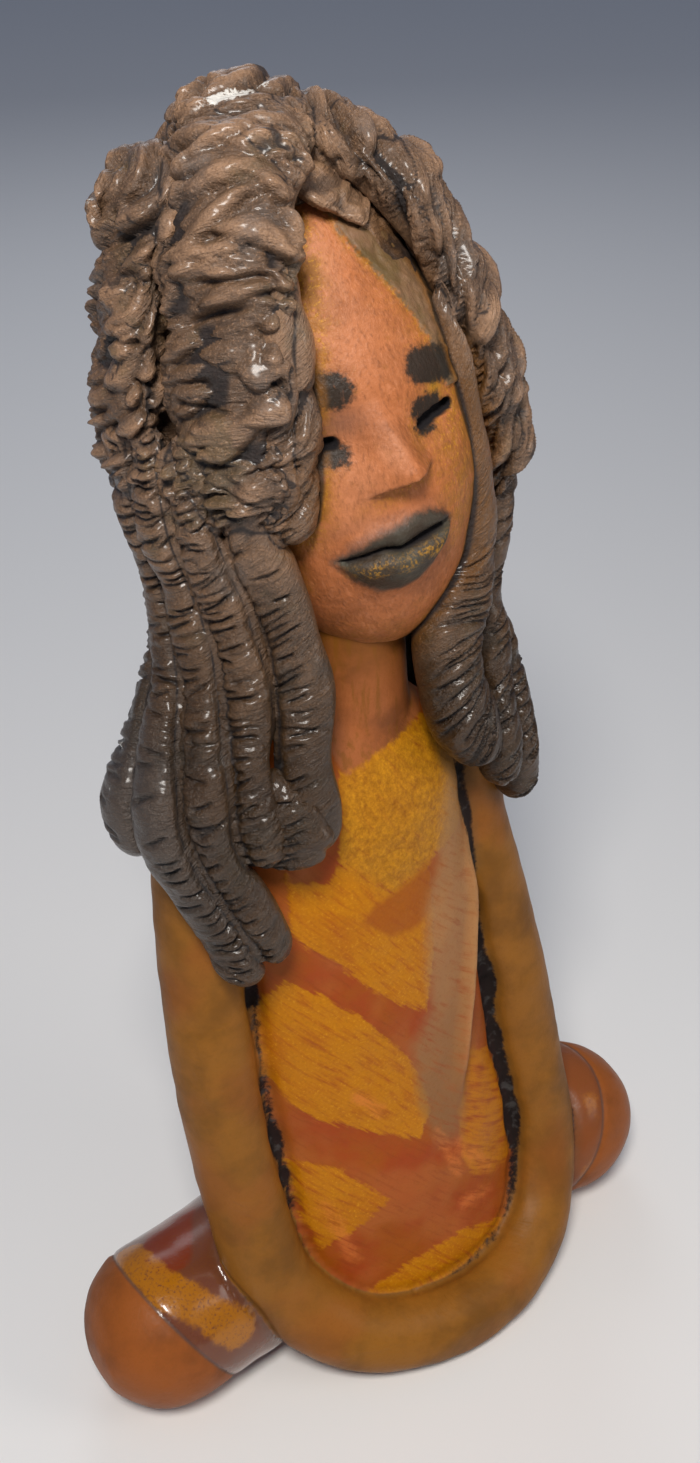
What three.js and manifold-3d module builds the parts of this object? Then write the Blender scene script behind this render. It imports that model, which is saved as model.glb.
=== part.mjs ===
// A hand-built clay doll: a seated woman with long coiled hair, her two arms joined in one loop in
// front of a patterned dress and her rounded legs spread to the sides. It is one fired piece.
// Millimetres, +Z up. The figure faces -Y, and its own right side is at -X.
// The origin is on the ground under the middle of the figure.

import * as THREE from "three";
import { mergeVertices } from "three/addons/utils/BufferGeometryUtils.js";
import Module from "manifold-3d";

// Middle of the figure's footprint, seen from above, in the frame that the sizes below are told in
const FOOTPRINT_MIDDLE = [0, 15.5];

// Trunk in its dress: the line through its middle from under the hem to the shoulders, and its
// half sizes at even steps along that line
const TRUNK_LINE = [
  [5, 4, -30],
  [4, 4, 20],
  [0, 7, 60],
  [-3, 10, 100],
  [-5, 14, 140],
  [-5, 17, 168],
];
const TRUNK_HALF_WIDTHS = [33, 36, 34, 31, 29, 29, 26];
const TRUNK_HALF_DEPTHS = [23, 24, 20, 18, 18, 18, 16];

// Arms, one coil from the right shoulder down round the lap and up to the left shoulder
const ARM_RADIUS = 9.2;
const ARM_LINE = [
  [-35, 15, 152],
  [-37, 13, 125],
  [-38.5, 7, 88],
  [-37, 1, 54],
  [-32, -7, 25],
  [-18, -17, 11],
  [6, -23.5, 8.2],
  [28, -17, 11],
  [39.5, -7, 25],
  [39, 1, 54],
  [34, 7, 88],
  [26.5, 13, 125],
  [24, 15, 150],
];

// Legs, one thick roll across the base, sunk a little into the ground so that it is flat below
const LEG_REACH = 74.5;
const LEG_RADIUS = 19;
const LEG_FLAT = 2.2;
const LEG_FRONT = 3;
const LEG_BEND = [7, 2];

// Neck: its line from inside the shoulders to inside the head
const NECK_RADIUS = 10;
const NECK_LINE = [
  [-1, 15, 145],
  [0, 14, 170],
  [1, 19, 196],
];
const NECK_FLARE = [4, 2];

// Face, a long oval: tilted back, turned and leaning to the figure's right
const FACE_CENTRE = [2, 20.5, 212.5];
const FACE_HALF_SIZES = [24, 23, 41];
const FACE_TILT = THREE.MathUtils.degToRad(-12);
const FACE_TURN = THREE.MathUtils.degToRad(-8);
const FACE_LEAN = THREE.MathUtils.degToRad(-6);

// Nose, from between the eyes to its tip: places across the face, up it and out of the skin
const NOSE_LINE = [
  [-1.5, 10, -1.5],
  [-1, 3, -0.5],
  [0, -5, 0.5],
];
const NOSE_HALF_WIDTHS = [1.6, 3.2, 6];
const NOSE_HALF_DEPTHS = [1.4, 3, 4.2];

// Mouth: its right and left corners across the face and their height from the face's middle
const MOUTH = [-13, 8.5, -15];
const UPPER_LIP = { bow: 2.4, half: 2.4 };
const LOWER_LIP = { bow: -5.2, half: 3.2 };
const LIP_SHOULDER = 0.75;
const LIP_DEPTHS = [1, 2.2, 2.6, 2.2, 1];
const LIP_OUT = [-1, 0, 0.6, 0, -1];

// Hair: the layer that the locks lie in, from the crown to their ends. Each level gives a height,
// the middle of the layer (x, y) and how far the layer reaches to the side, the front and the back.
const HAIR_LEVELS = [
  { z: 270, x: -6.5, y: 36, side: 2, front: 2, back: 2 },
  { z: 257, x: -5, y: 32, side: 23, front: 18, back: 20 },
  { z: 242, x: -2.5, y: 29, side: 30, front: 23, back: 26 },
  { z: 222, x: 0, y: 28, side: 35, front: 27, back: 29 },
  { z: 205, x: 1, y: 27, side: 36, front: 27, back: 28 },
  { z: 190, x: 1, y: 25, side: 33, front: 25, back: 25 },
  { z: 176, x: -2, y: 20, side: 32, front: 21, back: 22 },
  { z: 162, x: -5, y: 16, side: 37, front: 20, back: 22 },
  { z: 150, x: -6, y: 14, side: 42, front: 20, back: 24 },
  { z: 124, x: -5, y: 12, side: 42, front: 21, back: 22 },
];

// Above this height the rolls face upward too, by this much for each millimetre
const CROWN_FROM = 225;
const CROWN_SLOPE = 0.8;

// Hair under and between the rolls: a rounded cap, and a flat roll down the back
const SCALP_CENTRE = [-3, 37, 222];
const SCALP_HALF_SIZES = [30, 21, 47];
const NAPE_LINE = [
  [0, 38, 216],
  [-1, 34, 186],
  [-4, 27, 152],
  [-5, 24, 132],
];
const NAPE_HALF_WIDTHS = [30, 29, 32, 30];
const NAPE_HALF_DEPTHS = [9, 9, 8, 7];

// Thick rolls that cover the crown: the first level, the turn round the head in degrees at each
// level from there on (0 is the front, negative is the figure's right) and the height of the end.
// A roll that comes over the parting starts this far behind its first level and below it.
const OVER_PARTING = [12, 7];
const CROWN_HALF_THICKNESS = 5.8;
const CROWN_ROLLS = [
  { from: 0, over: true, turns: [-60, -50, -56, -54], end: 204, wide: 12 },
  { from: 1, over: true, turns: [-100, -98, -98], end: 204, wide: 10.5 },
  { from: 1, turns: [-150, -142, -138], end: 208, wide: 11 },
  { from: 0, turns: [176, 178, 178, 178], end: 206, wide: 12 },
  { from: 1, turns: [134, 136, 136], end: 208, wide: 11 },
  { from: 1, turns: [96, 100, 100], end: 210, wide: 10 },
  { from: 0, turns: [40, 58, 66, 68], end: 210, wide: 9 },
];

// Locks below the crown, told in the same way, in order round the head from the front lock on the
// figure's right to the one beside its left cheek
const LOCK_HALF_THICKNESS = 4.8;
const LOCKS = [
  { from: 1, turns: [-26, -32, -34, -37], end: 200, wide: 5.4 },
  { from: 3, turns: [-48, -45, -42, -34, -28, -22], end: 144, wide: 6.2 },
  { from: 3, turns: [-66, -64, -60, -52, -44, -37], end: 143, wide: 6 },
  { from: 3, turns: [-82, -80, -78, -72, -60, -52, -39], end: 121, wide: 6 },
  { from: 3, turns: [-98, -96, -96, -94, -84, -72, -49], end: 116, wide: 6.2 },
  { from: 3, turns: [-120, -120, -120, -118, -112, -106], end: 138, wide: 7.4 },
  { from: 3, turns: [-146, -146, -147, -148, -149, -150], end: 128, wide: 7.6 },
  { from: 3, turns: [-174, -174, -175, -176, -178, -178], end: 122, wide: 7.6 },
  { from: 3, turns: [158, 158, 158, 156, 154, 153], end: 126, wide: 7.6 },
  { from: 3, turns: [130, 130, 130, 129, 128, 128], end: 132, wide: 7.4 },
  { from: 3, turns: [104, 104, 104, 104, 98, 92], end: 132, wide: 6.6 },
  { from: 3, turns: [84, 84, 84, 84, 76, 68], end: 128, wide: 6.4 },
  { from: 3, turns: [64, 64, 64, 64, 56, 48], end: 138, wide: 6.2 },
  { from: 0, turns: [10, 22, 31, 37, 44, 45, 43, 38], end: 152, wide: 5.6 },
];

// Folds pinched into the hair: how much a roll swells and narrows from fold to fold
const CROWN_FOLDS = { count: 5, pinch: 0.1 };
const LOCK_FOLDS = { count: 4, pinch: 0.05 };

// Sides and rings of the two oval forms
const FACE_STEPS = [20, 14];
const SCALP_STEPS = [16, 12];

// A block below the ground, larger than the figure
const GROUND_BLOCK = [400, 400, 100];

const SEAM_GAP = 1e-4;

const wasm = await Module();
wasm.setup();

const point = (x, y, z) => new THREE.Vector3(x, y, z);
const line = (places) => places.map((place) => point(...place));
const frontward = () => point(0, -1, 0);

// Value at place s (0 to 1) on a smooth line through evenly spaced values
function along(values, s) {
  const place = THREE.MathUtils.clamp(s, 0, 1) * (values.length - 1);
  const i = Math.min(Math.floor(place), values.length - 2);
  return THREE.MathUtils.lerp(values[i], values[i + 1], THREE.MathUtils.smoothstep(place - i, 0, 1));
}

// Geometry with its seams merged and its collapsed faces dropped
function sealed(geometry) {
  geometry.deleteAttribute("normal");
  geometry.deleteAttribute("uv");
  const merged = mergeVertices(geometry, SEAM_GAP);
  const kept = [];
  const index = merged.index.array;
  for (let i = 0; i < index.length; i += 3) {
    const [a, b, c] = index.slice(i, i + 3);
    if (a !== b && b !== c && c !== a) kept.push(a, b, c);
  }
  merged.setIndex(kept);
  return merged;
}

function solid(geometry) {
  const closed = sealed(geometry);
  const mesh = new wasm.Mesh({
    numProp: 3,
    vertProperties: Float32Array.from(closed.attributes.position.array),
    triVerts: Uint32Array.from(closed.index.array),
  });
  return new wasm.Manifold(mesh);
}

// A roll of clay: a capsule bent along a path, with an oval section whose half width and half
// thickness are given at even steps. The thickness lies towards the side that it faces.
function roll({ path, wide, thick, facing, rings, sides, cap = 3 }) {
  const curve = new THREE.CatmullRomCurve3(path, false, "centripetal");
  const length = curve.getLength();
  const endRadius = Math.min(Math.max(wide[0], wide.at(-1)), length / 2.2);
  const middle = length / endRadius - 2;
  const geometry = new THREE.CapsuleGeometry(1, middle, cap, sides, rings);
  const position = geometry.attributes.position;
  for (let i = 0; i < position.count; i++) {
    const s = THREE.MathUtils.clamp(position.getY(i) / (middle + 2) + 0.5, 0, 1);
    const centre = curve.getPointAt(s);
    const tangent = curve.getTangentAt(s);
    const outward = facing(centre, s);
    outward.addScaledVector(tangent, -outward.dot(tangent)).normalize();
    const across = new THREE.Vector3().crossVectors(tangent, outward);
    centre.addScaledVector(across, position.getX(i) * along(wide, s));
    centre.addScaledVector(outward, position.getZ(i) * along(thick, s));
    position.setXYZ(i, centre.x, centre.y, centre.z);
  }
  return solid(geometry);
}

// A round form: a ball with these half sizes, its poles above and below
function oval(halfSizes, [sides, rings], place) {
  const geometry = new THREE.SphereGeometry(1, sides, rings);
  geometry.rotateX(Math.PI / 2);
  geometry.scale(...halfSizes);
  const position = geometry.attributes.position;
  for (let i = 0; i < position.count; i++) {
    const p = place(new THREE.Vector3().fromBufferAttribute(position, i));
    position.setXYZ(i, p.x, p.y, p.z);
  }
  return solid(geometry);
}

function trunk() {
  return roll({
    path: line(TRUNK_LINE),
    wide: TRUNK_HALF_WIDTHS,
    thick: TRUNK_HALF_DEPTHS,
    facing: frontward,
    rings: 10,
    sides: 16,
  });
}

function arms() {
  return roll({
    path: line(ARM_LINE),
    wide: [ARM_RADIUS, ARM_RADIUS],
    thick: [ARM_RADIUS, ARM_RADIUS],
    facing: frontward,
    rings: 22,
    sides: 10,
    cap: 2,
  });
}

function legs() {
  const height = LEG_RADIUS - LEG_FLAT;
  const [bendBack, bendUp] = LEG_BEND;
  return roll({
    path: [
      point(-LEG_REACH, LEG_FRONT, height),
      point(0, LEG_FRONT + bendBack, height + bendUp),
      point(LEG_REACH, LEG_FRONT, height),
    ],
    wide: [LEG_RADIUS, LEG_RADIUS],
    thick: [LEG_RADIUS, LEG_RADIUS],
    facing: () => point(0, 0, 1),
    rings: 8,
    sides: 14,
    cap: 4,
  });
}

function neck() {
  const [flareWidth, flareDepth] = NECK_FLARE;
  return roll({
    path: line(NECK_LINE),
    wide: [NECK_RADIUS + flareWidth, NECK_RADIUS, NECK_RADIUS],
    thick: [NECK_RADIUS + flareDepth, NECK_RADIUS, NECK_RADIUS],
    facing: frontward,
    rings: 3,
    sides: 10,
  });
}

// Place on the face, from its own middle: across, up and out of the skin
function onFace(across, up, out) {
  const [halfWidth, halfDepth, halfHeight] = FACE_HALF_SIZES;
  const depth = halfDepth * Math.sqrt(1 - (across / halfWidth) ** 2 - (up / halfHeight) ** 2);
  return toHead(point(across, -depth - out, up));
}

function toHead(p) {
  return p
    .applyAxisAngle(new THREE.Vector3(0, 1, 0), FACE_LEAN)
    .applyAxisAngle(new THREE.Vector3(1, 0, 0), FACE_TILT)
    .applyAxisAngle(new THREE.Vector3(0, 0, 1), FACE_TURN)
    .add(point(...FACE_CENTRE));
}

function head() {
  return oval(FACE_HALF_SIZES, FACE_STEPS, toHead);
}

function nose() {
  return roll({
    path: NOSE_LINE.map(([across, up, out]) => onFace(across, up, out)),
    wide: NOSE_HALF_WIDTHS,
    thick: NOSE_HALF_DEPTHS,
    facing: frontward,
    rings: 3,
    sides: 8,
    cap: 2,
  });
}

// A full lip, bowed up or down between the corners of the mouth
function lip({ bow, half }) {
  const [right, left, height] = MOUTH;
  const bows = [0, LIP_SHOULDER * bow, bow, LIP_SHOULDER * bow, 0];
  const path = bows.map((up, i) => {
    const across = THREE.MathUtils.lerp(right, left, i / (bows.length - 1));
    return onFace(across, height + up, LIP_OUT[i]);
  });
  return roll({
    path,
    wide: [1, half, half, half, 1],
    thick: LIP_DEPTHS,
    facing: frontward,
    rings: 6,
    sides: 8,
    cap: 1,
  });
}

// Middle and reach of the hair layer at a height
function hairLevel(z) {
  const last = HAIR_LEVELS.length - 1;
  let i = 0;
  while (i < last - 1 && z < HAIR_LEVELS[i + 1].z) i += 1;
  const a = HAIR_LEVELS[i];
  const b = HAIR_LEVELS[i + 1];
  const share = THREE.MathUtils.clamp((a.z - z) / (a.z - b.z), 0, 1);
  const mix = (key) => THREE.MathUtils.lerp(a[key], b[key], share);
  return { x: mix("x"), y: mix("y"), side: mix("side"), front: mix("front"), back: mix("back") };
}

// Point of the hair layer at a turn round the head and a height
function inHair(turn, z) {
  const level = hairLevel(z);
  const angle = THREE.MathUtils.degToRad(turn);
  const reach = Math.cos(angle) > 0 ? level.front : level.back;
  return point(level.x + Math.sin(angle) * level.side, level.y - Math.cos(angle) * reach, z);
}

function hairRoll({ from, over, turns, end, wide }, thick, folds) {
  const path = turns.map((turn, i) => inHair(turn, HAIR_LEVELS[from + i].z));
  path.push(inHair(turns.at(-1), end));
  if (over) path.unshift(path[0].clone().add(point(0, OVER_PARTING[0], -OVER_PARTING[1])));
  const steps = 2 * folds.count;
  const pinched = (half) =>
    Array.from({ length: steps + 1 }, (_, i) => half * (1 + (i % 2 ? folds.pinch : -folds.pinch)));
  return roll({
    path,
    wide: pinched(wide),
    thick: pinched(thick),
    facing: (p) => {
      const level = hairLevel(p.z);
      return point(p.x - level.x, p.y - level.y, CROWN_SLOPE * Math.max(p.z - CROWN_FROM, 0));
    },
    rings: steps,
    sides: 8,
    cap: 2,
  });
}

// Hair between and under the rolls, so that no gap opens down to the skull
function scalp() {
  return oval(SCALP_HALF_SIZES, SCALP_STEPS, (p) => p.add(point(...SCALP_CENTRE)));
}

// Hair behind the neck and down the back, which the back locks lie on
function nape() {
  return roll({
    path: line(NAPE_LINE),
    wide: NAPE_HALF_WIDTHS,
    thick: NAPE_HALF_DEPTHS,
    facing: frontward,
    rings: 4,
    sides: 10,
    cap: 1,
  });
}

// Everything below the ground is cut off
function aboveGround(figure) {
  const ground = new THREE.BoxGeometry(...GROUND_BLOCK);
  ground.translate(0, 0, -GROUND_BLOCK[2] / 2);
  return figure.subtract(solid(ground));
}

function toGeometry(manifold) {
  const mesh = manifold.getMesh();
  const geometry = new THREE.BufferGeometry();
  geometry.setAttribute("position", new THREE.BufferAttribute(mesh.vertProperties, 3));
  geometry.setIndex(new THREE.BufferAttribute(mesh.triVerts, 1));
  geometry.computeVertexNormals();
  return geometry;
}

const forms = [
  trunk(),
  arms(),
  legs(),
  neck(),
  head(),
  nose(),
  lip(UPPER_LIP),
  lip(LOWER_LIP),
  scalp(),
  nape(),
  ...CROWN_ROLLS.map((row) => hairRoll(row, CROWN_HALF_THICKNESS, CROWN_FOLDS)),
  ...LOCKS.map((row) => hairRoll(row, LOCK_HALF_THICKNESS, LOCK_FOLDS)),
];
const joined = aboveGround(forms.reduce((whole, form) => whole.add(form)));

// Pockets that the rolls close off between them are filled: only the outer skin is kept
const figure = joined.decompose().reduce((a, b) => (a.volume() > b.volume() ? a : b));

const clay = new THREE.MeshStandardMaterial({ color: 0x96532e, roughness: 0.6, metalness: 0 });
const doll = new THREE.Mesh(toGeometry(figure), clay);
doll.name = "clay_doll";
doll.position.set(-FOOTPRINT_MIDDLE[0], -FOOTPRINT_MIDDLE[1], 0);

const group = new THREE.Group();
group.add(doll);
export default group;
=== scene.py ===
"""Looks of the clay doll: rolled and pinched hair, a painted face, a painted dress and coiled arms.

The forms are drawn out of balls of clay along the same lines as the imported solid, in millimetres
in the figure's working frame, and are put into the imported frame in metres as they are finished.
"""

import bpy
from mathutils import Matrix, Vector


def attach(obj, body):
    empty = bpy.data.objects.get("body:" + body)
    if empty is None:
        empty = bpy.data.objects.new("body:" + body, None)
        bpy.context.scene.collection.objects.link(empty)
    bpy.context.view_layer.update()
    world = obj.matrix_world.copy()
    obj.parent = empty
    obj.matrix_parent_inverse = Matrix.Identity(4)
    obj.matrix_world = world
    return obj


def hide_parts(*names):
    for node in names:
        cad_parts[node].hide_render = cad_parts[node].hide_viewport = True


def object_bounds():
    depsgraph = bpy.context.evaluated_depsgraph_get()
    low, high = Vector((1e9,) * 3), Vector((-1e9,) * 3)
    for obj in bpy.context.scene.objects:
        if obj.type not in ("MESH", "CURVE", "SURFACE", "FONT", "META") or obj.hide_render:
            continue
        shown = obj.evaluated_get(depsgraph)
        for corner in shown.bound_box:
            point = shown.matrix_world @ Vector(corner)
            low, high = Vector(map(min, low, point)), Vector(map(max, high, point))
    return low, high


bl_info = {
    "name": "Clay Doll",
    "version": (1, 0, 0),
    "blender": (4, 5, 0),
    "location": "View3D > Sidebar > Clay Doll",
    "description": "Hand-built clay doll with coiled locks, a painted face and a painted dress",
    "category": "Object",
}

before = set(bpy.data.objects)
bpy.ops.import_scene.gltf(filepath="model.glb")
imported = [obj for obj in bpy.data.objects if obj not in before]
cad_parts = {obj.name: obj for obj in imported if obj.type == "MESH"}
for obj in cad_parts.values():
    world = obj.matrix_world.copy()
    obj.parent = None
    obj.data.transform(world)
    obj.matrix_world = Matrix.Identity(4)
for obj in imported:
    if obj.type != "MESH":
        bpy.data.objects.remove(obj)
CAD_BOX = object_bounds()

import functools
import math
from collections import namedtuple

import bpy
import numpy as np
from bpy.props import FloatProperty, FloatVectorProperty, PointerProperty
from mathutils import Vector
from mathutils.bvhtree import BVHTree

NODE = "clay_doll"
MM = 0.001

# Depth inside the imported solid's box over which the relief is eased back, in metres
BOX_EASE = 0.0012

# Middle of the footprint in the figure's working frame, in millimetres
FIGURE_MIDDLE = np.array((0.0, 15.5, 0.0))

# Trunk in its dress, from under the hem to the shoulders
TRUNK_LINE = ((5, 4, -30), (4, 4, 20), (0, 7, 60), (-3, 10, 100), (-5, 14, 140), (-5, 17, 168))
TRUNK_HALF_WIDTHS = (33, 36, 34, 31, 29, 29, 26)
TRUNK_HALF_DEPTHS = (23, 24, 20, 18, 18, 18, 16)

# Arms, one coil from shoulder to shoulder round the lap
ARM_RADIUS = 9.2
ARM_LINE = (
    (-35, 15, 152), (-37, 13, 125), (-38.5, 7, 88), (-37, 1, 54), (-32, -7, 25), (-18, -17, 11),
    (6, -23.5, 8.2), (28, -17, 11), (39.5, -7, 25), (39, 1, 54), (34, 7, 88), (26.5, 13, 125),
    (24, 15, 150),
)

# Legs, one thick roll across the base
LEG_RADIUS = 19
LEG_LINE = ((-74.5, 3, 16.8), (0, 10, 18.8), (74.5, 3, 16.8))

# Neck
NECK_LINE = ((-1, 15, 145), (0, 14, 170), (1, 19, 196))
NECK_HALF_WIDTHS = (14, 10, 10)
NECK_HALF_DEPTHS = (12, 10, 10)

# Face: a long oval and how it is leaned, tilted back and turned, in degrees
FACE_CENTRE = (2, 20.5, 212.5)
FACE_HALF_SIZES = (24, 23, 41)
FACE_LEAN, FACE_TILT, FACE_TURN = -6, -12, -8

# Hair layer: height, middle x and y, reach to the side, the front and the back
HAIR_LEVELS = np.array((
    (267.6, -6.5, 36, 2, 2, 2),
    (257, -5, 32, 23, 18, 20),
    (242, -2.5, 29, 30, 23, 26),
    (222, 0, 28, 35, 27, 29),
    (205, 1, 27, 36, 27, 28),
    (190, 1, 25, 33, 25, 25),
    (176, -2, 20, 32, 21, 22),
    (162, -5, 16, 37, 20, 22),
    (150, -6, 14, 42, 20, 24),
    (124, -5, 12, 42, 21, 22),
))
CROWN_FROM = 225
CROWN_SLOPE = 0.8
OVER_PARTING = (0, 12, -7)

# Hair under the rolls
SCALP_CENTRE = (-3, 37, 222)
SCALP_HALF_SIZES = (30, 21, 47)
NAPE_LINE = ((0, 38, 216), (-1, 34, 186), (-4, 27, 152), (-5, 24, 132))
NAPE_HALF_WIDTHS = (30, 29, 32, 30)
NAPE_HALF_DEPTHS = (9, 9, 8, 7)

# A roll of hair over the crown: its first level, whether it comes over the parting, its turns round
# the head in degrees, the height of its end, its half widths, the length, height and rise of the
# pads pressed on it, how they lean and bow, and the places round it between which a smooth edge
# turns into pads
Roll = namedtuple("Roll", "level over turns end halves pad lean bow edge", defaults=(None,))

# Cuts pressed across a lock: the usual distance between them, how they lean and bow, where round it
# they centre, their shortest and longest half lengths, their depth as a share of the cut depth, and
# how far from the top they start
Cuts = namedtuple("Cuts", "spacing lean bow centre reach depth start", defaults=(3,))

# Lengths along a lock between which its lumps rise, stay and die out
TOP_LUMPS = (-2, -1, 8, 20)
CHEEK_LUMPS = (22, 30, 44, 52)
NO_LUMPS = (1000, 1001, 1002, 1003)

# A lock: its turns, the height of its end, its half widths, its cuts, its first level, its half
# thicknesses and its lumps
Lock = namedtuple("Lock", "turns end halves cuts level thick lumps", defaults=(3, (4.8,), TOP_LUMPS))

CROWN_HALF_THICKNESS = (5.8,)
CROWN_ROLLS = (
    Roll(0, True, (-58, -43, -47, -50), 204, (12,), (10, 5.2, 3.2), -0.2, 0.012, (17, 14.5)),
    Roll(1, True, (-100, -98, -98), 204, (10.5,), (7, 4.8, 3.1), -0.5, 0.0),
    Roll(1, False, (-150, -142, -138), 208, (11,), (6.5, 4.8, 2.9), -0.2, 0.0),
    Roll(0, False, (176, 178, 178, 178), 206, (12,), (12, 5.0, 2.0), 0.0, 0.01),
    Roll(1, False, (134, 136, 136), 208, (11,), (10, 5.0, 2.0), 0.1, 0.01),
    Roll(1, False, (96, 100, 100), 210, (10,), (9, 5.0, 2.6), -0.6, 0.0),
    Roll(
        0, False, (42, 48, 49, 51, 57), 196, (8.5, 9.5, 9.5, 8.5, 7), (13, 6.5, 4.4), -0.9, 0.0, (-19, -16),
    ),
)

# How often a roll and a lock are pinched in, and by how much
CROWN_PINCHES = (5, 0.06)
LOCK_PINCHES = (4, 0.05)

# Half the width of the outer side of a lock that is worked
WORKED_SIDE = 7.0

LOCKS_RIGHT = (
    Lock(
        (-24, -29, -31.5, -35), 203, (2.4, 3.6, 5.4, 5.6, 5.2),
        Cuts(3.2, -0.75, 0.0, 0, (2, 5), 1.6, 34), level=1, lumps=CHEEK_LUMPS,
    ),
    Lock((-48, -45, -41, -32.5, -27, -22), 144, (6.2,), Cuts(2.6, -0.4, 0.0, 0, (2, 5), 1.8)),
    Lock((-66, -64, -60.5, -53.5, -45, -37.5), 143, (6,), Cuts(1.9, -0.14, -0.01, 1, (2.4, 5), 1.7)),
    Lock((-82, -80, -78, -72, -60, -52, -39), 121, (6,), Cuts(2.6, -0.04, -0.03, 2, (2, 5), 1.7)),
    Lock((-98, -96, -96, -94, -84, -72, -49), 116, (6.2,), Cuts(3.0, 0.1, -0.02, 3, (2, 4.5), 1.8)),
)
LOCKS_BACK = tuple(
    Lock(turns, end, halves, Cuts(spacing, 0.0, -0.01, 0, (2, 5), 1.6))
    for turns, end, halves, spacing in (
        ((-120, -120, -120, -118, -112, -106), 138, (7.4,), 3.6),
        ((-146, -146, -147, -148, -149, -150), 128, (7.6,), 4.0),
        ((-174, -174, -175, -176, -178, -178), 122, (7.6,), 4.2),
        ((158, 158, 158, 156, 154, 153), 126, (7.6,), 4.0),
        ((130, 130, 130, 129, 128, 128), 132, (7.4,), 3.8),
    )
)
LOCKS_LEFT = (
    Lock((104, 104, 104, 104, 98, 92), 132, (6.6,), Cuts(3.0, -0.3, 0.0, -5, (2, 5), 1.8)),
    Lock((84, 84, 84, 84, 76, 68), 128, (6.4,), Cuts(2.6, -0.4, 0.0, -6, (2.5, 6), 2.0)),
    Lock((64, 64, 64, 64, 56, 48), 138, (6.2,), Cuts(2.4, -0.5, 0.0, -6, (2.5, 6), 2.0)),
    Lock(
        (33, 28, 30, 33, 27, 30, 37), 147, (1.4, 2.2, 3.0, 5.0, 7.4, 8.2, 7.4),
        Cuts(1.8, -0.7, 0.0, -4, (3.5, 7), 2.2, 50), 2, (2.6, 2.6, 3.2, 4.8, 7, 7, 5.4), NO_LUMPS,
    ),
)

# Clay that joins the ends of the two nearest locks
JOINED_END = Lock(
    (-36, -30), 141.5, (4, 9.5, 10.5), Cuts(2.2, -0.3, -0.008, 0, (3, 7), 1.6, 6), 7, (4.4, 5.2), NO_LUMPS,
)

# How much longer and wider the faces of the hidden and of the crown's hair are
BACK_COARSE, CROWN_FINE = 1.25, 0.86

# Painted areas of the dress: outlines as (turn round the trunk in degrees, height)
YELLOW_AREAS = (
    (
        (-24, 154), (12, 156), (52, 157), (84, 153), (74, 131), (52, 128), (34, 128), (3, 125),
        (-30, 136), (-27, 142),
    ),
    (
        (-56, 138), (-54, 133), (-37, 132), (-29, 136), (3, 125.5), (34, 128), (34, 118), (30, 104),
        (20, 92), (1, 97), (-23, 105), (-40, 114), (-57, 120),
    ),
    (
        (-80, 101), (-63, 109), (-47, 105), (-21, 94), (1, 82), (9, 75), (15, 65), (1, 58),
        (-30, 65), (-58, 71), (-72, 79), (-80, 88),
    ),
    ((-73, 60), (-52, 57), (-27, 45), (-46, 39), (-63, 33), (-69, 47)),
    ((-45, 20), (-19, 24.5), (21, 26), (46, 20), (50, 14), (-48, 14)),
)
LEAF = (
    (76, 129), (75, 119), (39, 117), (17, 114), (-1, 115), (-20, 121), (-11, 124), (3, 125),
    (34, 127), (52, 128),
)
# The band is partly the dress's paint and partly painted sheen along its fold
BAND = (
    (60, 150), (84, 148), (82, 128), (76, 108), (60, 90), (48, 78), (41, 62), (31, 52), (15, 54),
    (7, 68), (5, 84), (24, 91), (24, 104), (28, 117), (40, 124),
)
SIDE_PATCH = ((49, 72), (75, 64), (70, 51), (67, 32), (55, 33), (33, 39), (29, 47), (34, 59))
NECKLINE = (
    (-180, 165), (-90, 163), (-34, 160), (-20, 153), (12, 155), (52, 156), (84, 157), (120, 163), (180, 165),
)

# Pale strokes across the dress, partly painted sheen: turn and height of both ends, and half the width of
# them all
PALE_SMEARS_AND_SHEEN = (
    (16, 56, 24, 44), (28, 50, 46, 38), (24, 33, 40, 31), (-36, 76, -24, 70), (-58, 46, -50, 30),
)
SMEAR_HALF_WIDTH = 1.6

# Gold and red dabs on the legs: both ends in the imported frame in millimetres, and the half width
LEG_GOLD = (
    ((-60, -2, 33), (-59, -10, 35.3), 4.2), ((-58, -15, 35), (-46, -26.5, 25), 4.5),
    ((56, -20, 30), (52, -27, 16), 3.5),
)
LEG_RED = (((-46, 4, 33), (-53, -8, 36), 5.5),)

# Where the bare end of a leg starts: distance from the middle, and how it moves with y and z
FOOT_EDGE = (45.7, 0.12, 0.52)


def size(name, description, millimetres):
    return FloatProperty(name=name, description=description, default=millimetres * MM, unit="LENGTH")


def colour(name, description, *shares):
    settings = {"default": (*shares, 1), "size": 4, "min": 0, "max": 1, "subtype": "COLOR"}
    return FloatVectorProperty(name=name, description=description, **settings)


class DollSizes(bpy.types.PropertyGroup):
    """Sizes of the relief and of the skin that the forms are joined in"""

    skin_step: size("Skin step", "Size of the faces of the joined body", 0.9)
    roll_step: size("Roll step", "Distance between the rings of a roll of hair", 0.36)
    roll_side: size("Roll side", "Width of a face round a roll of hair", 0.8)
    cut_depth: size("Cut depth", "Depth of the cuts across the locks", 0.75)
    cut_width: size("Cut width", "Half width of the cuts across the locks", 0.34)
    nose_height: size("Nose height", "How far the tip of the nose stands out", 5.2)
    lip_height: size("Lip height", "How far the lips stand out", 2.2)
    camera_lens: FloatProperty(
        name="Lens", description="Focal length of the camera on a 36 mm frame, in millimetres", default=41.83,
    )


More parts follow.
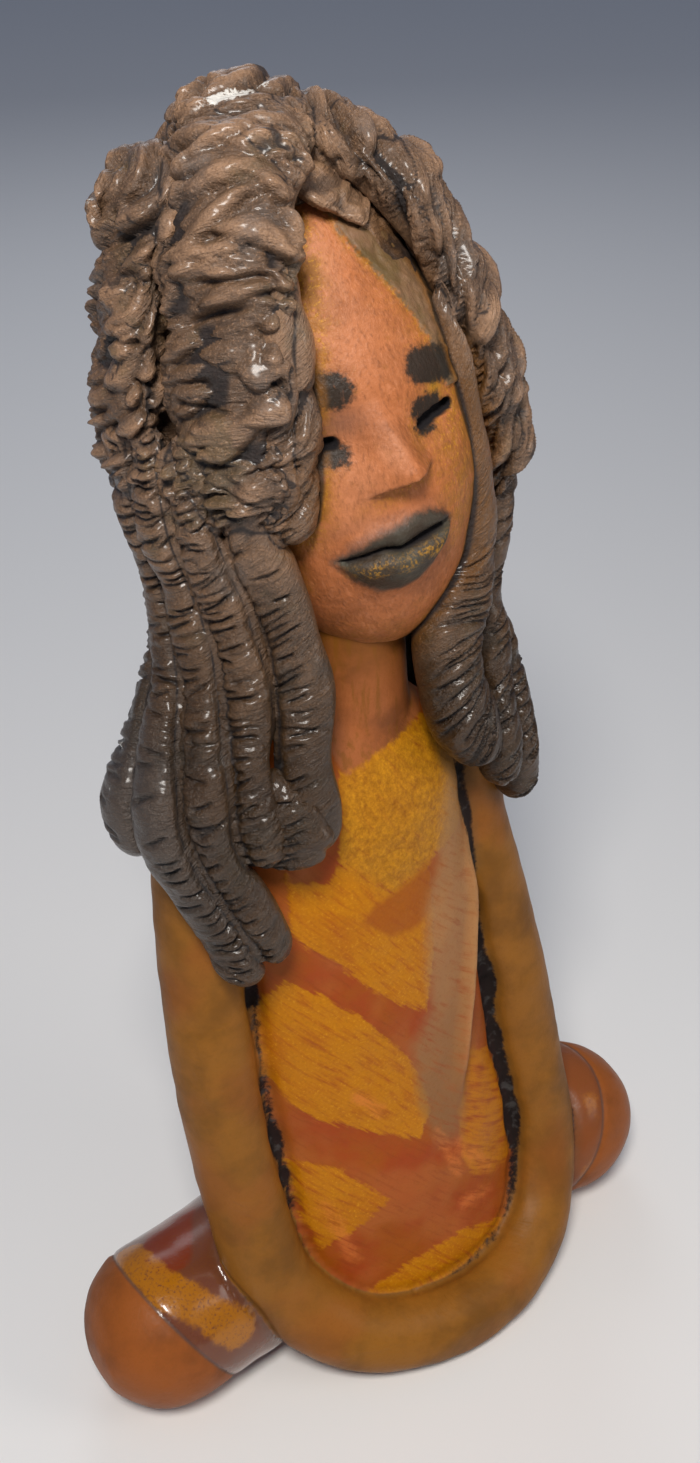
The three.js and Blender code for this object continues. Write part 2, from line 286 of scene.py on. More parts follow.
class DollColours(bpy.types.PropertyGroup):
    """Colours of the clay, the slips and the paints, and of the painted light and shade"""

    skin: colour("Skin", "Terracotta of the face", 0.47, 0.145, 0.042)
    # Used for pale mottling and as the painted highlight on the lit, raised parts of the face
    skin_pale: colour("Pale skin", "Lighter salmon on the raised parts of the face", 0.56, 0.215, 0.095)
    shade: colour("Shade", "Grey-mauve in the eye sockets and round the lips", 0.18, 0.085, 0.055)
    ochre: colour("Ochre", "Ochre rubbed along the hairline and the cheek", 0.37, 0.14, 0.010)
    # Also laid as painted shade along the line where the face meets the hair
    soot: colour("Soot", "Black-green of the brows, eyes and lips", 0.016, 0.012, 0.007)
    lip_grey: colour("Lip grey", "Grey-green on the raised parts of the lips", 0.06, 0.062, 0.045)
    gold: colour("Gold", "Gold flecks on the lower lip and the dress", 0.64, 0.30, 0.012)
    yellow: colour("Yellow", "Brushed yellow of the dress", 0.50, 0.175, 0.0)
    orange: colour("Orange", "Orange streaks in the yellow", 0.40, 0.105, 0.002)
    umber: colour("Umber", "Brown that shows through the grainy yellow", 0.18, 0.062, 0.004)
    rust: colour("Rust", "Ground colour of the dress", 0.33, 0.075, 0.003)
    red: colour("Red", "Red patches on the ground colour", 0.33, 0.050, 0.006)
    pink: colour("Pink", "Pinkish wash on the ground colour", 0.40, 0.11, 0.022)
    # Partly the paint of the band, partly painted sheen along the fold of the dress
    mauve: colour("Mauve", "Mauve-beige band of the dress", 0.40, 0.205, 0.075)
    stocking: colour("Stocking", "Mauve-brown of the legs above the feet", 0.14, 0.042, 0.018)
    arm: colour("Arm", "Satin ochre-brown of the arms", 0.27, 0.105, 0.012)
    foot: colour("Foot", "Bare terracotta of the ends of the legs", 0.29, 0.080, 0.014)
    hair: colour("Hair", "Grey-brown of the hair", 0.245, 0.140, 0.078)
    # Painted shade: the share that the hair colour is multiplied by towards the bottom
    low_hair_shade: colour("Low hair", "Share of the hair colour left on the dark hanging locks", 0.22, 0.18, 0.09)
    hair_olive: colour("Hair olive", "Olive tinge in the hair", 0.11, 0.078, 0.030)
    hair_slip: colour("Hair slip", "Blue-grey slip that lies in the hollows of the hair", 0.085, 0.082, 0.080)
    # Colour of the painted shade in the cuts, creases, gaps, crevices, mouth line and eye slits
    crease: colour("Crease", "Dirt in the cuts and crevices", 0.008, 0.006, 0.007)
    # White for the chips, and for one painted glint on the far side of the hair
    chip: colour("Chip", "White clay where the hair is chipped", 0.75, 0.72, 0.66)
    floor: colour("Floor", "Pale floor", 0.80, 0.79, 0.77)


# ---- numbers


# Steps of a smooth line from one place to the next
LINE_STEPS = 40


def smooth(low, high, value):
    """Rises smoothly from 0 to 1 as the value goes from low to high."""
    share = np.clip((value - low) / (high - low), 0, 1)
    return share * share * (3 - 2 * share)


def bell(away, half_width):
    """Falls smoothly from 1 on a line to nothing on both sides of it."""
    return np.exp(-((away / half_width) ** 2))


def mounds(across, up, table):
    """Soft mounds over the face, each told as (across, up, half width, half height, height)."""
    return [
        height * np.exp(-(((across - x) / wide) ** 2) - (((up - y) / tall) ** 2))
        for x, y, wide, tall, height in table
    ]


def along(values, share):
    """Value at each share (0 to 1) on a smooth line through evenly spaced values."""
    values = np.array(values, float)
    place = np.clip(share, 0, 1) * (len(values) - 1)
    i = np.minimum(place.astype(int), len(values) - 2)
    return values[i] + (values[i + 1] - values[i]) * smooth(0, 1, place - i)


def smooth_line(places):
    """Points of a smooth line through the places, and how far along it each one is."""
    p = np.array(places, float)
    p = np.vstack([2 * p[0] - p[1], p, 2 * p[-1] - p[-2]])
    gaps = np.linalg.norm(np.diff(p, axis=0), axis=1) ** 0.5
    t = np.linspace(0, 1, LINE_STEPS, endpoint=False)[:, None]
    parts = []
    for i in range(1, len(p) - 2):
        a, b, c = gaps[i - 1], gaps[i], gaps[i + 1]
        out = ((p[i] - p[i - 1]) / a - (p[i + 1] - p[i - 1]) / (a + b)) * b + p[i + 1] - p[i]
        into = ((p[i + 2] - p[i + 1]) / c - (p[i + 2] - p[i]) / (b + c)) * b + p[i + 1] - p[i]
        parts.append(
            (2 * t**3 - 3 * t**2 + 1) * p[i] + (t**3 - 2 * t**2 + t) * out
            + (3 * t**2 - 2 * t**3) * p[i + 1] + (t**3 - t**2) * into
        )
    line = np.vstack(parts + [p[-2:-1]])
    run = np.concatenate([[0], np.cumsum(np.linalg.norm(np.diff(line, axis=0), axis=1))])
    return line, run


def clay_noise(points, size, seed):
    """Smooth noise from -1 to 1 at points in millimetres, with lumps of the given size."""
    table = np.random.default_rng(seed).uniform(-1, 1, (32, 32, 32))
    place = np.asarray(points, float) / size + 7.3
    cell = np.floor(place).astype(int)
    part = place - cell
    part = part * part * (3 - 2 * part)
    total = np.zeros(len(place))
    for corner in np.ndindex(2, 2, 2):
        weight = np.prod(np.where(corner, part, 1 - part), axis=1)
        i, j, k = ((cell + corner) % 32).T
        total += weight * table[i, j, k]
    return total


def layered(points, layers, seed):
    """Layers of clay noise added up, each told as the size of its lumps and its strength."""
    return sum(strength * clay_noise(points, size, seed + i) for i, (size, strength) in enumerate(layers))


def stroke_distance(points, start, end):
    """Distance of each point from the line between two places."""
    start, end = np.array(start, float), np.array(end, float)
    line = end - start
    share = np.clip((points - start) @ line / max(line @ line, 1e-9), 0, 1)
    return np.linalg.norm(points - start - share[:, None] * line, axis=1)


def strokes_distance(points, strokes):
    """Distance from the nearest of some strokes, each told as its two ends and its half width."""
    return np.min([stroke_distance(points, start, end) - half for start, end, half in strokes], axis=0)


def path_distance(points, places):
    return np.min([stroke_distance(points, a, b) for a, b in zip(places, places[1:])], axis=0)


def outline_distance(points, outline):
    """Signed distance from a closed outline, negative inside."""
    ring = [*outline, outline[0]]
    away = path_distance(points, ring)
    x, y = points.T
    inside = np.zeros(len(points), bool)
    for (x0, y0), (x1, y1) in zip(ring, ring[1:]):
        if y0 != y1:
            crosses = (y0 > y) != (y1 > y)
            inside ^= crosses & (x < (x1 - x0) * (y - y0) / (y1 - y0) + x0)
    return np.where(inside, -away, away)


# ---- clay


# How far the points of a ball are drawn round to its outer side, for a finer relief there
OUTER_PULL = 0.45


def clay_ball(name, sides, rings):
    bpy.ops.object.select_all(action="DESELECT")
    bpy.ops.mesh.primitive_uv_sphere_add(segments=int(sides), ring_count=int(rings), radius=1)
    ball = bpy.context.object
    ball.name = name
    ball.data.name = name
    return ball


def vertex_places(ball):
    places = np.empty(len(ball.data.vertices) * 3)
    ball.data.vertices.foreach_get("co", places)
    return places.reshape(-1, 3)


def kept_inside(places):
    """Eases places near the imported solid's box back inside it, in metres."""
    low, high = (np.array(corner) for corner in CAD_BOX)
    over = np.maximum(places - (high - BOX_EASE), 0)
    places = places - over + BOX_EASE * (1 - np.exp(-over / BOX_EASE))
    under = np.maximum(low + BOX_EASE - places, 0)
    under[:, 2] = 0
    return places + under - BOX_EASE * (1 - np.exp(-under / BOX_EASE))


def put_vertices(ball, points):
    places = kept_inside((points - FIGURE_MIDDLE) * MM)
    ball.data.vertices.foreach_set("co", places.ravel())
    ball.data.update()


def figure_points(piece):
    return vertex_places(piece) / MM + FIGURE_MIDDLE


def store(piece, name, values):
    """Keeps one value a vertex on the piece for its material."""
    kept = piece.data.attributes.get(name) or piece.data.attributes.new(name, "FLOAT", "POINT")
    kept.data.foreach_set("value", np.asarray(values, np.float32))


def stored_values(piece, name):
    values = np.empty(len(piece.data.vertices))
    piece.data.attributes[name].data.foreach_get("value", values)
    return values


def store_vector(piece, name, values):
    kept = piece.data.attributes.get(name) or piece.data.attributes.new(name, "FLOAT_VECTOR", "POINT")
    kept.data.foreach_set("vector", np.asarray(values, np.float32).ravel())


def draw_out(ball, places, wide, thick, facing, relief=None):
    """Draws a ball out into a roll along the places, and presses its relief into it.

    Facing gives the outer side at each point; the result is the roll and which way is out of it.
    """
    unit = vertex_places(ball)
    share = np.arccos(np.clip(unit[:, 2], -1, 1)) / math.pi
    turn = np.arctan2(unit[:, 1], unit[:, 0])
    if relief is not None:
        turn = turn - OUTER_PULL * np.sin(turn)
    line, run = smooth_line(places)
    length = run[-1]
    at = share * length
    centre = np.column_stack([np.interp(at, run, line[:, k]) for k in range(3)])
    ahead = np.gradient(line, run, axis=0)
    ahead = np.column_stack([np.interp(at, run, ahead[:, k]) for k in range(3)])
    ahead /= np.linalg.norm(ahead, axis=1)[:, None]
    outward = facing(centre)
    outward = outward - (outward * ahead).sum(1)[:, None] * ahead
    outward /= np.linalg.norm(outward, axis=1)[:, None]
    side = np.cross(outward, ahead)
    end = min(max(wide[0], wide[-1]), length / 2.2)
    from_end = np.minimum(at, length - at) / end
    rounded = np.sqrt(np.clip(1 - (1 - np.minimum(from_end, 1)) ** 2, 0, 1))
    half_width, half_depth = along(wide, share) * rounded, along(thick, share) * rounded
    across, out = np.sin(turn) * half_width, np.cos(turn) * half_depth
    around = turn * (np.mean(wide) + np.mean(thick)) / 2
    if relief is not None:
        height, crease, led = relief(at, around, turn, length)
        slope = np.hypot(np.sin(turn) * half_depth, np.cos(turn) * half_width) + 1e-6
        fade = smooth(0, 0.5, rounded)
        across = across + height * fade * np.sin(turn) * half_depth / slope
        out = out + height * fade * np.cos(turn) * half_width / slope
        # The crease mask is painted shade in the creases and cuts; the crest height paints the tops lighter
        # and the hollows darker
        store(ball, "crease", crease * fade)
        store(ball, "crest", height * fade)
        store_vector(ball, "roll", np.column_stack([led, around, np.full(len(at), length)]) * MM)
    points = centre + across[:, None] * side + out[:, None] * outward
    put_vertices(ball, points)
    away = (np.sin(turn) * half_depth)[:, None] * side + (np.cos(turn) * half_width)[:, None] * outward
    return ball, away / (np.linalg.norm(away, axis=1)[:, None] + 1e-9)


def frontward(centre):
    return np.tile((0.0, -1.0, 0.0), (len(centre), 1))


def upward(centre):
    return np.tile((0.0, 0.0, 1.0), (len(centre), 1))


def finished(piece, material):
    """Gives a piece its finish and its place in the frame."""
    bpy.ops.object.select_all(action="DESELECT")
    piece.select_set(True)
    bpy.context.view_layer.objects.active = piece
    bpy.ops.object.shade_smooth()
    piece.data.materials.clear()
    piece.data.materials.append(material)
    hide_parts(NODE)
    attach(piece, "root")


def joined(pieces, name):
    bpy.ops.object.select_all(action="DESELECT")
    for piece in pieces:
        piece.select_set(True)
    bpy.context.view_layer.objects.active = pieces[0]
    bpy.ops.object.join()
    whole = bpy.context.object
    whole.name = name
    whole.data.name = name
    return whole


def apply_modifier(piece, kind, **settings):
    modifier = piece.modifiers.new(kind.title(), kind)
    for key, value in settings.items():
        setattr(modifier, key, value)
    bpy.context.view_layer.objects.active = piece
    bpy.ops.object.modifier_apply(modifier=modifier.name)


# ---- body


def surface_distance(piece, points):
    mesh = piece.data
    tree = BVHTree.FromPolygons([v.co for v in mesh.vertices], [p.vertices for p in mesh.polygons])
    metres = (points - FIGURE_MIDDLE) * MM
    return np.array([tree.find_nearest(Vector(p))[3] for p in metres]) / MM


def dress_place(points):
    """Turn round the trunk in degrees (0 is the front) and height of each point."""
    line = np.array(TRUNK_LINE, float)
    x = np.interp(points[:, 2], line[:, 2], line[:, 0])
    y = np.interp(points[:, 2], line[:, 2], line[:, 1])
    return np.degrees(np.arctan2(points[:, 0] - x, y - points[:, 1])), points[:, 2]


# Width of a degree round the trunk, in millimetres
DRESS_DEGREE = 0.56

# Ridge that the dress folds over on its left side: height and turn
RIDGE = ((60, 36), (75, 46), (90, 56), (108, 68), (128, 76), (150, 84))

# How high and wide the ridge is, and the hollow beside it
RIDGE_HEIGHT, RIDGE_HALF_WIDTH = 1.9, 2.6
HOLLOW_DEPTH, HOLLOW_BESIDE, HOLLOW_HALF_WIDTH = 0.8, 6, 3

# Groove round the bare ends of the legs
GROOVE_DEPTH, GROOVE_HALF_WIDTH = 0.5, 0.7

# Lumps of the hand-worked surface: their size and height
BODY_UNEVENNESS = ((14, 0.4), (4, 0.13))

# Half width of the crevices beside the arms, by height, on the left and the right of the figure
CREVICE_HEIGHTS = (8, 20, 40, 62, 85, 108, 128, 150)
CREVICE_LEFT = (0.25, 0.7, 1.5, 1.9, 2.0, 1.0, 1.3, 0.3)
CREVICE_RIGHT = (0.15, 0.2, 0.5, 1.3, 0.8, 1.2, 0.8, 0.5)
CREVICE_DEPTH = 1.9


def crevice_width(points):
    left = np.interp(points[:, 2], CREVICE_HEIGHTS, CREVICE_LEFT)
    right = np.interp(points[:, 2], CREVICE_HEIGHTS, CREVICE_RIGHT)
    wide = right + (left - right) * smooth(-6, 6, points[:, 0])
    return wide * (1 + 0.45 * clay_noise(points, 5, 36))


def meeting_distance(distances):
    """How near each point is to where two forms meet: its distance from the second nearest."""
    trunk, arm, leg, neck = distances
    return np.sort(np.vstack([np.minimum(trunk, neck), arm, leg]), axis=0)[1]


def ridge_distance(turn, height):
    """Distance round the trunk from the ridge of the dress, less than 0 on the front side."""
    heights, turns = np.array(RIDGE, float).T
    return (turn - np.interp(height, heights, turns)) * DRESS_DEGREE


def work_body(body, points, distances):
    """Presses the crevices in, pushes the ridge of the dress out and leaves the surface uneven."""
    normals = np.empty(points.size)
    body.data.vertex_normals.foreach_get("vector", normals)
    normals = normals.reshape(-1, 3)
    trunk, _, leg, _ = distances
    uneven = 0.5 + 0.5 * clay_noise(points, 9, 31)
    crevice = bell(meeting_distance(distances), 0.9 + crevice_width(points))
    height = -CREVICE_DEPTH * (0.5 + 0.5 * uneven) * crevice
    turn, level = dress_place(points)
    away = ridge_distance(turn, level)
    fold = RIDGE_HEIGHT * bell(away, RIDGE_HALF_WIDTH)
    fold -= HOLLOW_DEPTH * bell(away - HOLLOW_BESIDE, HOLLOW_HALF_WIDTH)
    height += fold * smooth(55, 75, level) * smooth(160, 145, level) * smooth(3, 0, trunk)
    height -= GROOVE_DEPTH * bell(stored_values(body, "foot"), GROOVE_HALF_WIDTH) * smooth(1.5, 0, leg)
    height += layered(points, BODY_UNEVENNESS, 32) - 0.35
    on_ground = smooth(0.2, 2.5, points[:, 2])
    put_vertices(body, points + normals * (height * on_ground)[:, None])


def paint_body(body, distances):
    """Lays out the painted areas as distances in millimetres from their edges, negative inside."""
    points = figure_points(body)
    trunk, arm, leg, neck = distances
    store(body, "arm", arm - np.minimum(np.minimum(trunk, leg), neck))
    store(body, "leg", leg - np.minimum(np.minimum(trunk, arm), neck))
    store(body, "crevice", meeting_distance(distances) - crevice_width(points))
    turn, height = dress_place(points)
    flat = np.column_stack([turn * DRESS_DEGREE, height])
    store_vector(body, "dress", np.column_stack([flat, np.zeros(len(flat))]) * MM)
    for name, outlines in (
        ("yellow", YELLOW_AREAS), ("chest", YELLOW_AREAS[:1]), ("leaf", (LEAF,)), ("band", (BAND,)),
        ("side_patch", (SIDE_PATCH,)),
    ):
        laid_out = [[(t * DRESS_DEGREE, z) for t, z in outline] for outline in outlines]
        store(body, name, np.min([outline_distance(flat, outline) for outline in laid_out], axis=0))
    smears = [
        ((a * DRESS_DEGREE, b), (c * DRESS_DEGREE, d), SMEAR_HALF_WIDTH) for a, b, c, d in PALE_SMEARS_AND_SHEEN
    ]
    store(body, "pale_smear", strokes_distance(flat, smears))
    away = ridge_distance(turn, height)
    upper = smooth(60, 84, height)
    # Painted shade where the dress turns away beyond its ridge
    store(body, "beyond_ridge", upper * smooth(0.8, 4.5, away) * smooth(25, 16, away))
    # Painted sheen along the ridge of the dress
    store(body, "sheen", upper * bell(away, 1.3))
    turns, heights = np.array(NECKLINE, float).T
    store(body, "neckline", np.interp(turn, turns, heights) - height)
    place = points - FIGURE_MIDDLE
    x, y, z = place.T
    from_middle, with_y, with_z = FOOT_EDGE
    store(body, "foot", from_middle + with_y * y + with_z * z - np.abs(x))
    store(body, "leg_gold", strokes_distance(place, LEG_GOLD))
    store(body, "leg_red", strokes_distance(place, LEG_RED))


class DOLL_OT_body(bpy.types.Operator):
    """Joins the trunk, neck, arms and legs in one skin, works its surface and paints it"""

    bl_idname = "doll.body"
    bl_label = "Body and dress"

    def execute(self, context):
        sizes = context.scene.doll_sizes
        arm = (ARM_RADIUS, ARM_RADIUS)
        leg = (LEG_RADIUS, LEG_RADIUS)
        forms = [
            draw_out(clay_ball(name, sides, rings), line, wide, thick, facing)[0]
            for name, sides, rings, line, wide, thick, facing in (
                ("trunk", 96, 120, TRUNK_LINE, TRUNK_HALF_WIDTHS, TRUNK_HALF_DEPTHS, frontward),
                ("arms", 48, 300, ARM_LINE, arm, arm, frontward),
                ("legs", 80, 140, LEG_LINE, leg, leg, upward),
                ("neck", 64, 60, NECK_LINE, NECK_HALF_WIDTHS, NECK_HALF_DEPTHS, frontward),
            )
        ]
        copies = []
        for form in forms:
            copy = form.copy()
            copy.data = form.data.copy()
            context.scene.collection.objects.link(copy)
            copies.append(copy)
        body = joined(copies, "body")
        apply_modifier(body, "REMESH", mode="VOXEL", voxel_size=sizes.skin_step)
        apply_modifier(body, "SMOOTH", factor=0.5, iterations=5)
        bpy.ops.object.mode_set(mode="EDIT")
        bpy.ops.mesh.select_all(action="SELECT")
        ground = {"plane_co": (0, 0, 0), "plane_no": (0, 0, 1)}
        bpy.ops.mesh.bisect(**ground, use_fill=True, clear_inner=True, threshold=1e-6)
        bpy.ops.object.mode_set(mode="OBJECT")
        points = figure_points(body)
        distances = [surface_distance(form, points) for form in forms]
        paint_body(body, distances)
        work_body(body, points, distances)
        for form in forms:
            bpy.data.objects.remove(form)
        finished(body, painted_clay(context.scene.doll_colours))
        return {"FINISHED"}


# ---- head


def face_axes():
    def turned(degrees, i, j):
        matrix = np.eye(3)
        c, s = math.cos(math.radians(degrees)), math.sin(math.radians(degrees))
        matrix[i, i] = matrix[j, j] = c
        matrix[i, j], matrix[j, i] = -s, s
        return matrix

    return turned(FACE_TURN, 0, 1) @ turned(FACE_TILT, 1, 2) @ turned(FACE_LEAN, 2, 0)


# Lines and painted marks of the face, as (across, up) over its oval in millimetres
MOUTH_LINE = (
    (-13.6, -16.4), (-9, -15.7), (-5.5, -15.0), (-2.8, -15.6), (0.9, -14.7), (5.3, -14.1), (8.4, -13.6),
)
LIP_RIM = (
    (-13.8, -16.3), (-11, -12.4), (-6.8, -11), (-2.5, -10.8), (-0.5, -10), (3.4, -10.5), (6.4, -11.4),
    (8.6, -13.6),
)
LIP_PAINT = (
    (-13.4, -16.3), (-11, -14.2), (-8, -12.6), (-5, -11.6), (-2, -10.9), (1, -10.1), (4, -10.2),
    (7, -11.6), (8.6, -13.6),
)
LOWER_LIP = (
    (8.6, -13.6), (7.2, -17), (3.8, -20.8), (0.6, -23), (-3, -23.9), (-6.6, -23.4), (-10.7, -20.4),
    (-13.8, -16.3),
)
NOSE_EDGE = ((-8.2, -5.4), (-1, -3.8), (6.1, -2.2))

# Edge of the rough slip on the forehead
SLIP_EDGE = (
    (12.4, 9.5), (11.2, 15), (9.6, 21), (7.4, 25), (4.8, 29.5), (1.2, 34.7), (0.2, 38), (-0.8, 42),
)

# Strokes of the brush: both ends and the half width
BROWS = (((-11.5, 14.0), (-8.2, 13.4), 3.0), ((7.6, 13.4), (12.4, 12.4), 3.2))
EYE_SMUDGES = (
    ((-12, 3.2), (-9.8, 2.8), 2.1), ((6.0, 6.4), (8.8, 6.4), 2.1), ((5.6, 3.6), (7, 3.4), 1.6),
)
EYE_SLITS = (((-13.5, 5), (-9.9, 4.7), 1.0), ((6.0, 3.9), (12.4, 5.1), 1.0))
GOLD_SPOT = (((9.3, 9.6), (9.9, 9.0), 1.4),)

# Hairline up the near and the far side of the face, as (up, across), where ochre is rubbed in
NEAR_HAIRLINE = ((-13, -16), (-1, -12.6), (9, -11), (18, -8.8), (27, -6.3), (36, -3.3))
FAR_HAIRLINE = (
    (-28, 16), (-20, 18), (-15, 18.5), (-3, 15.5), (4, 13), (11, 12), (16, 11), (25, 9), (34, 6.5),
)

# Soft mounds: across, up, half width, half height, and how high or how strong they are
FACE_MOUNDS = (
    (-2.5, -16, 12, 9, 1.5), (-1.5, -33, 7, 5, 0.7), (13, -5, 5, 7, 0.8), (-12, -5, 5, 7, 0.8),
    (0, 13, 14, 4, 0.5), (-9.5, 5, 4.5, 4, -1.6), (9, 5, 4.5, 4, -1.6),
)
LIP_PEARL = ((-4.5, -17.6, 4, 1.5, 0.9),)
OCHRE_DABS = ((4.5, 3, 2, 4.5, 0.8), (9.5, 8.8, 4, 2.4, 0.8))
# Painted highlights: the lit forehead, the lit near cheek and the highlight on the nose bridge
SKIN_HIGHLIGHT_DABS = ((-4, 31, 3.5, 9, 0.9), (-6, 22, 7, 12, 0.7), (-8.5, -3, 5, 8, 1.0), (-2, 2.5, 2.4, 4, 1.5))
SHADE_DABS = ((-8, 8, 4.5, 3.2, 1.0), (-2, -10.3, 9, 1.6, 0.7))

# Nose: where it starts and how far it runs down, then at its top and how it grows towards its tip,
# the place of its ridge and the half width of both flanks
NOSE_ROOT, NOSE_LENGTH = 11, 13
NOSE_RIDGE, NEAR_FLANK, FAR_FLANK = (-2.8, 3.6), (3.0, 5.6), (2.2, 3.6)
RIDGE_SOFTNESS = 0.07

# Lumps of the head and crumbs of the slip on it: their size and height
HEAD_UNEVENNESS = ((6, 0.2), (2.2, 0.08))
FOREHEAD_CRUMBS = ((1.6, 0.35), (0.8, 0.2))

# How deep the eye slits are cut, and how far the jaw is drawn in on its far side
SLIT_DEPTH, JAW_PINCH = 2.4, 0.04


def profile(points, outline):
    """Height of a line of (x, y) places over each x."""
    xs, ys = np.array(outline, float).T
    return np.interp(points, xs, ys)


def nose_relief(across, up, height):
    """A pinched three-sided nose with a flat underside."""
    share = np.clip((NOSE_ROOT - up) / NOSE_LENGTH, 0, 1.15)
    ridge, near, far = (top + grows * share for top, grows in (NOSE_RIDGE, NEAR_FLANK, FAR_FLANK))
    away = across - ridge
    half = np.where(away < 0, near, far)
    top, foot = math.sqrt(RIDGE_SOFTNESS), math.sqrt(1 + RIDGE_SOFTNESS)
    flank = (foot - np.sqrt((away / half) ** 2 + RIDGE_SOFTNESS)) / (foot - top)
    rise = height * np.minimum(share, 1) ** 1.2 * np.clip(flank, 0, 1) ** 1.15
    return rise * smooth(-0.8, 0.3, up - profile(across, NOSE_EDGE))


def lips_relief(across, up, height):
    """Two lips that swell and meet in a cut, with a small pearl of clay on the lower one."""
    line = profile(across, MOUTH_LINE)
    top, low = profile(across, LIP_RIM), profile(across, LOWER_LIP[::-1])
    within = smooth(-14.5, -9.5, across) * smooth(9.4, 5.5, across)
    upper = np.clip((up - line) / np.maximum(top - line, 0.6), 0, 1.7)
    lower = np.clip((line - up) / np.maximum(line - low, 0.6), 0, 1.7)
    rise = np.where(up > line, 0.75 * bell(upper - 0.55, 0.5), 1.3 * bell(lower - 0.45, 0.45))
    cut = (0.5 + 0.6 * height) * bell(up - line, 0.35 + 0.25 * bell(across - 2, 4))
    return within * (height * rise - cut + sum(mounds(across, up, LIP_PEARL)))


def slip_distance(across, up):
    """Distance from the edge of the slip, less than 0 where the forehead is covered."""
    edges, heights = np.array(SLIP_EDGE).T
    return np.where(up > 8, np.interp(up, heights, edges) - across, 20.0)


def paint_head(head, face):
    """Lays out the paint on the face as distances in millimetres and strengths from 0 to 1."""
    across, up = face[:, 0], face[:, 2]
    front = face[:, 1] < 0
    flat = np.column_stack([across, up])
    far = np.where(front, 0, 30.0)

    for name, strokes in (
        ("brow", BROWS), ("eye", EYE_SMUDGES), ("gold_spot", GOLD_SPOT), ("slit", EYE_SLITS),
    ):
        store(head, name, strokes_distance(flat, strokes) + far)
    for name, upper_lip in (("lips", LIP_PAINT), ("lip_rim", LIP_RIM)):
        store(head, name, outline_distance(flat, upper_lip + LOWER_LIP[1:-1]) + far)
    line = profile(across, MOUTH_LINE)
    ends = 3 * (smooth(6, 9, across) + smooth(-11.5, -13.5, across))
    store(head, "mouth", np.abs(up - line) - 0.15 - 0.35 * bell(across - 2, 4) + far + ends)
    store(head, "lip_side", up - line)
    slip = slip_distance(across, up)
    store(head, "slip", slip)
    under_nose = up - profile(across, NOSE_EDGE) + 2.0
    rub = np.max([
        1.3 * np.exp(-np.maximum(across - profile(up, NEAR_HAIRLINE), 0) / 1.1) * smooth(-16, -10, up),
        np.exp(-np.maximum(profile(up, FAR_HAIRLINE) - across, 0) / 2.6),
        1.2 * bell(slip, 1.0) * smooth(10, 14, up),
        0.9 * smooth(4, 11, across) * smooth(14, 8, up) * smooth(-26, -14, up),
        0.45 * smooth(3, 12, across) * smooth(8, 14, up),
        0.95 * bell(under_nose, 1.6) * bell(across - 0.5, 6.5),
        0.5 * smooth(-26, -40, up),
        *mounds(across, up, OCHRE_DABS),
    ], axis=0)
    store(head, "ochre", np.where(front, rub, 0.5))
    # Painted highlight on the lit parts of the face
    store(head, "pale", np.max(mounds(across, up, SKIN_HIGHLIGHT_DABS), axis=0))
    store(head, "shade", np.where(front, np.max(mounds(across, up, SHADE_DABS), axis=0), 0))


class DOLL_OT_head(bpy.types.Operator):
    """Shapes the long face with its nose, lips and slit eyes, and paints it"""

    bl_idname = "doll.head"
    bl_label = "Head and face"

    def execute(self, context):
        sizes = context.scene.doll_sizes
        head = clay_ball("head", 250, 280)
        unit = vertex_places(head)
        tilt = np.arccos(np.clip(unit[:, 2], -1, 1))
        turn = np.arctan2(unit[:, 0], -unit[:, 1])
        turn = turn - OUTER_PULL * np.sin(turn)
        wide, deep, high = FACE_HALF_SIZES
        face = np.column_stack([
            wide * np.sin(tilt) * np.sin(turn),
            -deep * np.sin(tilt) * np.cos(turn),
            high * np.cos(tilt),
        ])
        across, up = face[:, 0].copy(), face[:, 2].copy()
        facing = smooth(-2, -9, face[:, 1])
        relief = nose_relief(across, up, sizes.nose_height / MM)
        relief += lips_relief(across, up, sizes.lip_height / MM) + sum(mounds(across, up, FACE_MOUNDS))
        crumbs = 0.6 + layered(face, FOREHEAD_CRUMBS, 13)
        relief += smooth(0.5, -0.7, slip_distance(across, up)) * crumbs
        for start, end, _ in EYE_SLITS:
            slit = stroke_distance(np.column_stack([across, up]), start, end)
            relief -= SLIT_DEPTH * smooth(1.25, 0.5, slit)
        face[:, 0] = across * (1 - JAW_PINCH * smooth(-8, -26, up) * smooth(0, 8, across))
        face[:, 1] -= relief * facing
        uneven = layered(face, HEAD_UNEVENNESS, 11) - 0.1
        face += (uneven + 3.2 * smooth(30, 41, up))[:, None] * unit
        points = face @ face_axes().T + np.array(FACE_CENTRE)
        put_vertices(head, points)
        store(head, "gap", gap_to_others(None, points))
        paint_head(head, np.column_stack([across, face[:, 1], up]))
        finished(head, painted_skin(context.scene.doll_colours))
        return {"FINISHED"}


# ---- hair


def hair_level(height):
    """Middle x and y of the hair layer at a height, and its reach to the side, front and back."""
    levels = HAIR_LEVELS[::-1]
    return [np.interp(height, levels[:, 0], levels[:, k]) for k in range(1, 6)]


def in_hair(turn, height):
    """Place in the hair layer, from the turn round the head in degrees and the height."""
    x, y, side, front, back = hair_level(height)
    angle = math.radians(turn)
    reach = front if math.cos(angle) > 0 else back
    return np.array((x + math.sin(angle) * side, y - math.cos(angle) * reach, height))


def hair_line(form):
    """Places along a roll or a lock, from the level that it starts at to its end."""
    places = [in_hair(turn, HAIR_LEVELS[form.level + i][0]) for i, turn in enumerate(form.turns)]
    places.append(in_hair(form.turns[-1], form.end))
    if isinstance(form, Roll) and form.over:
        places.insert(0, places[0] + OVER_PARTING)
    return places


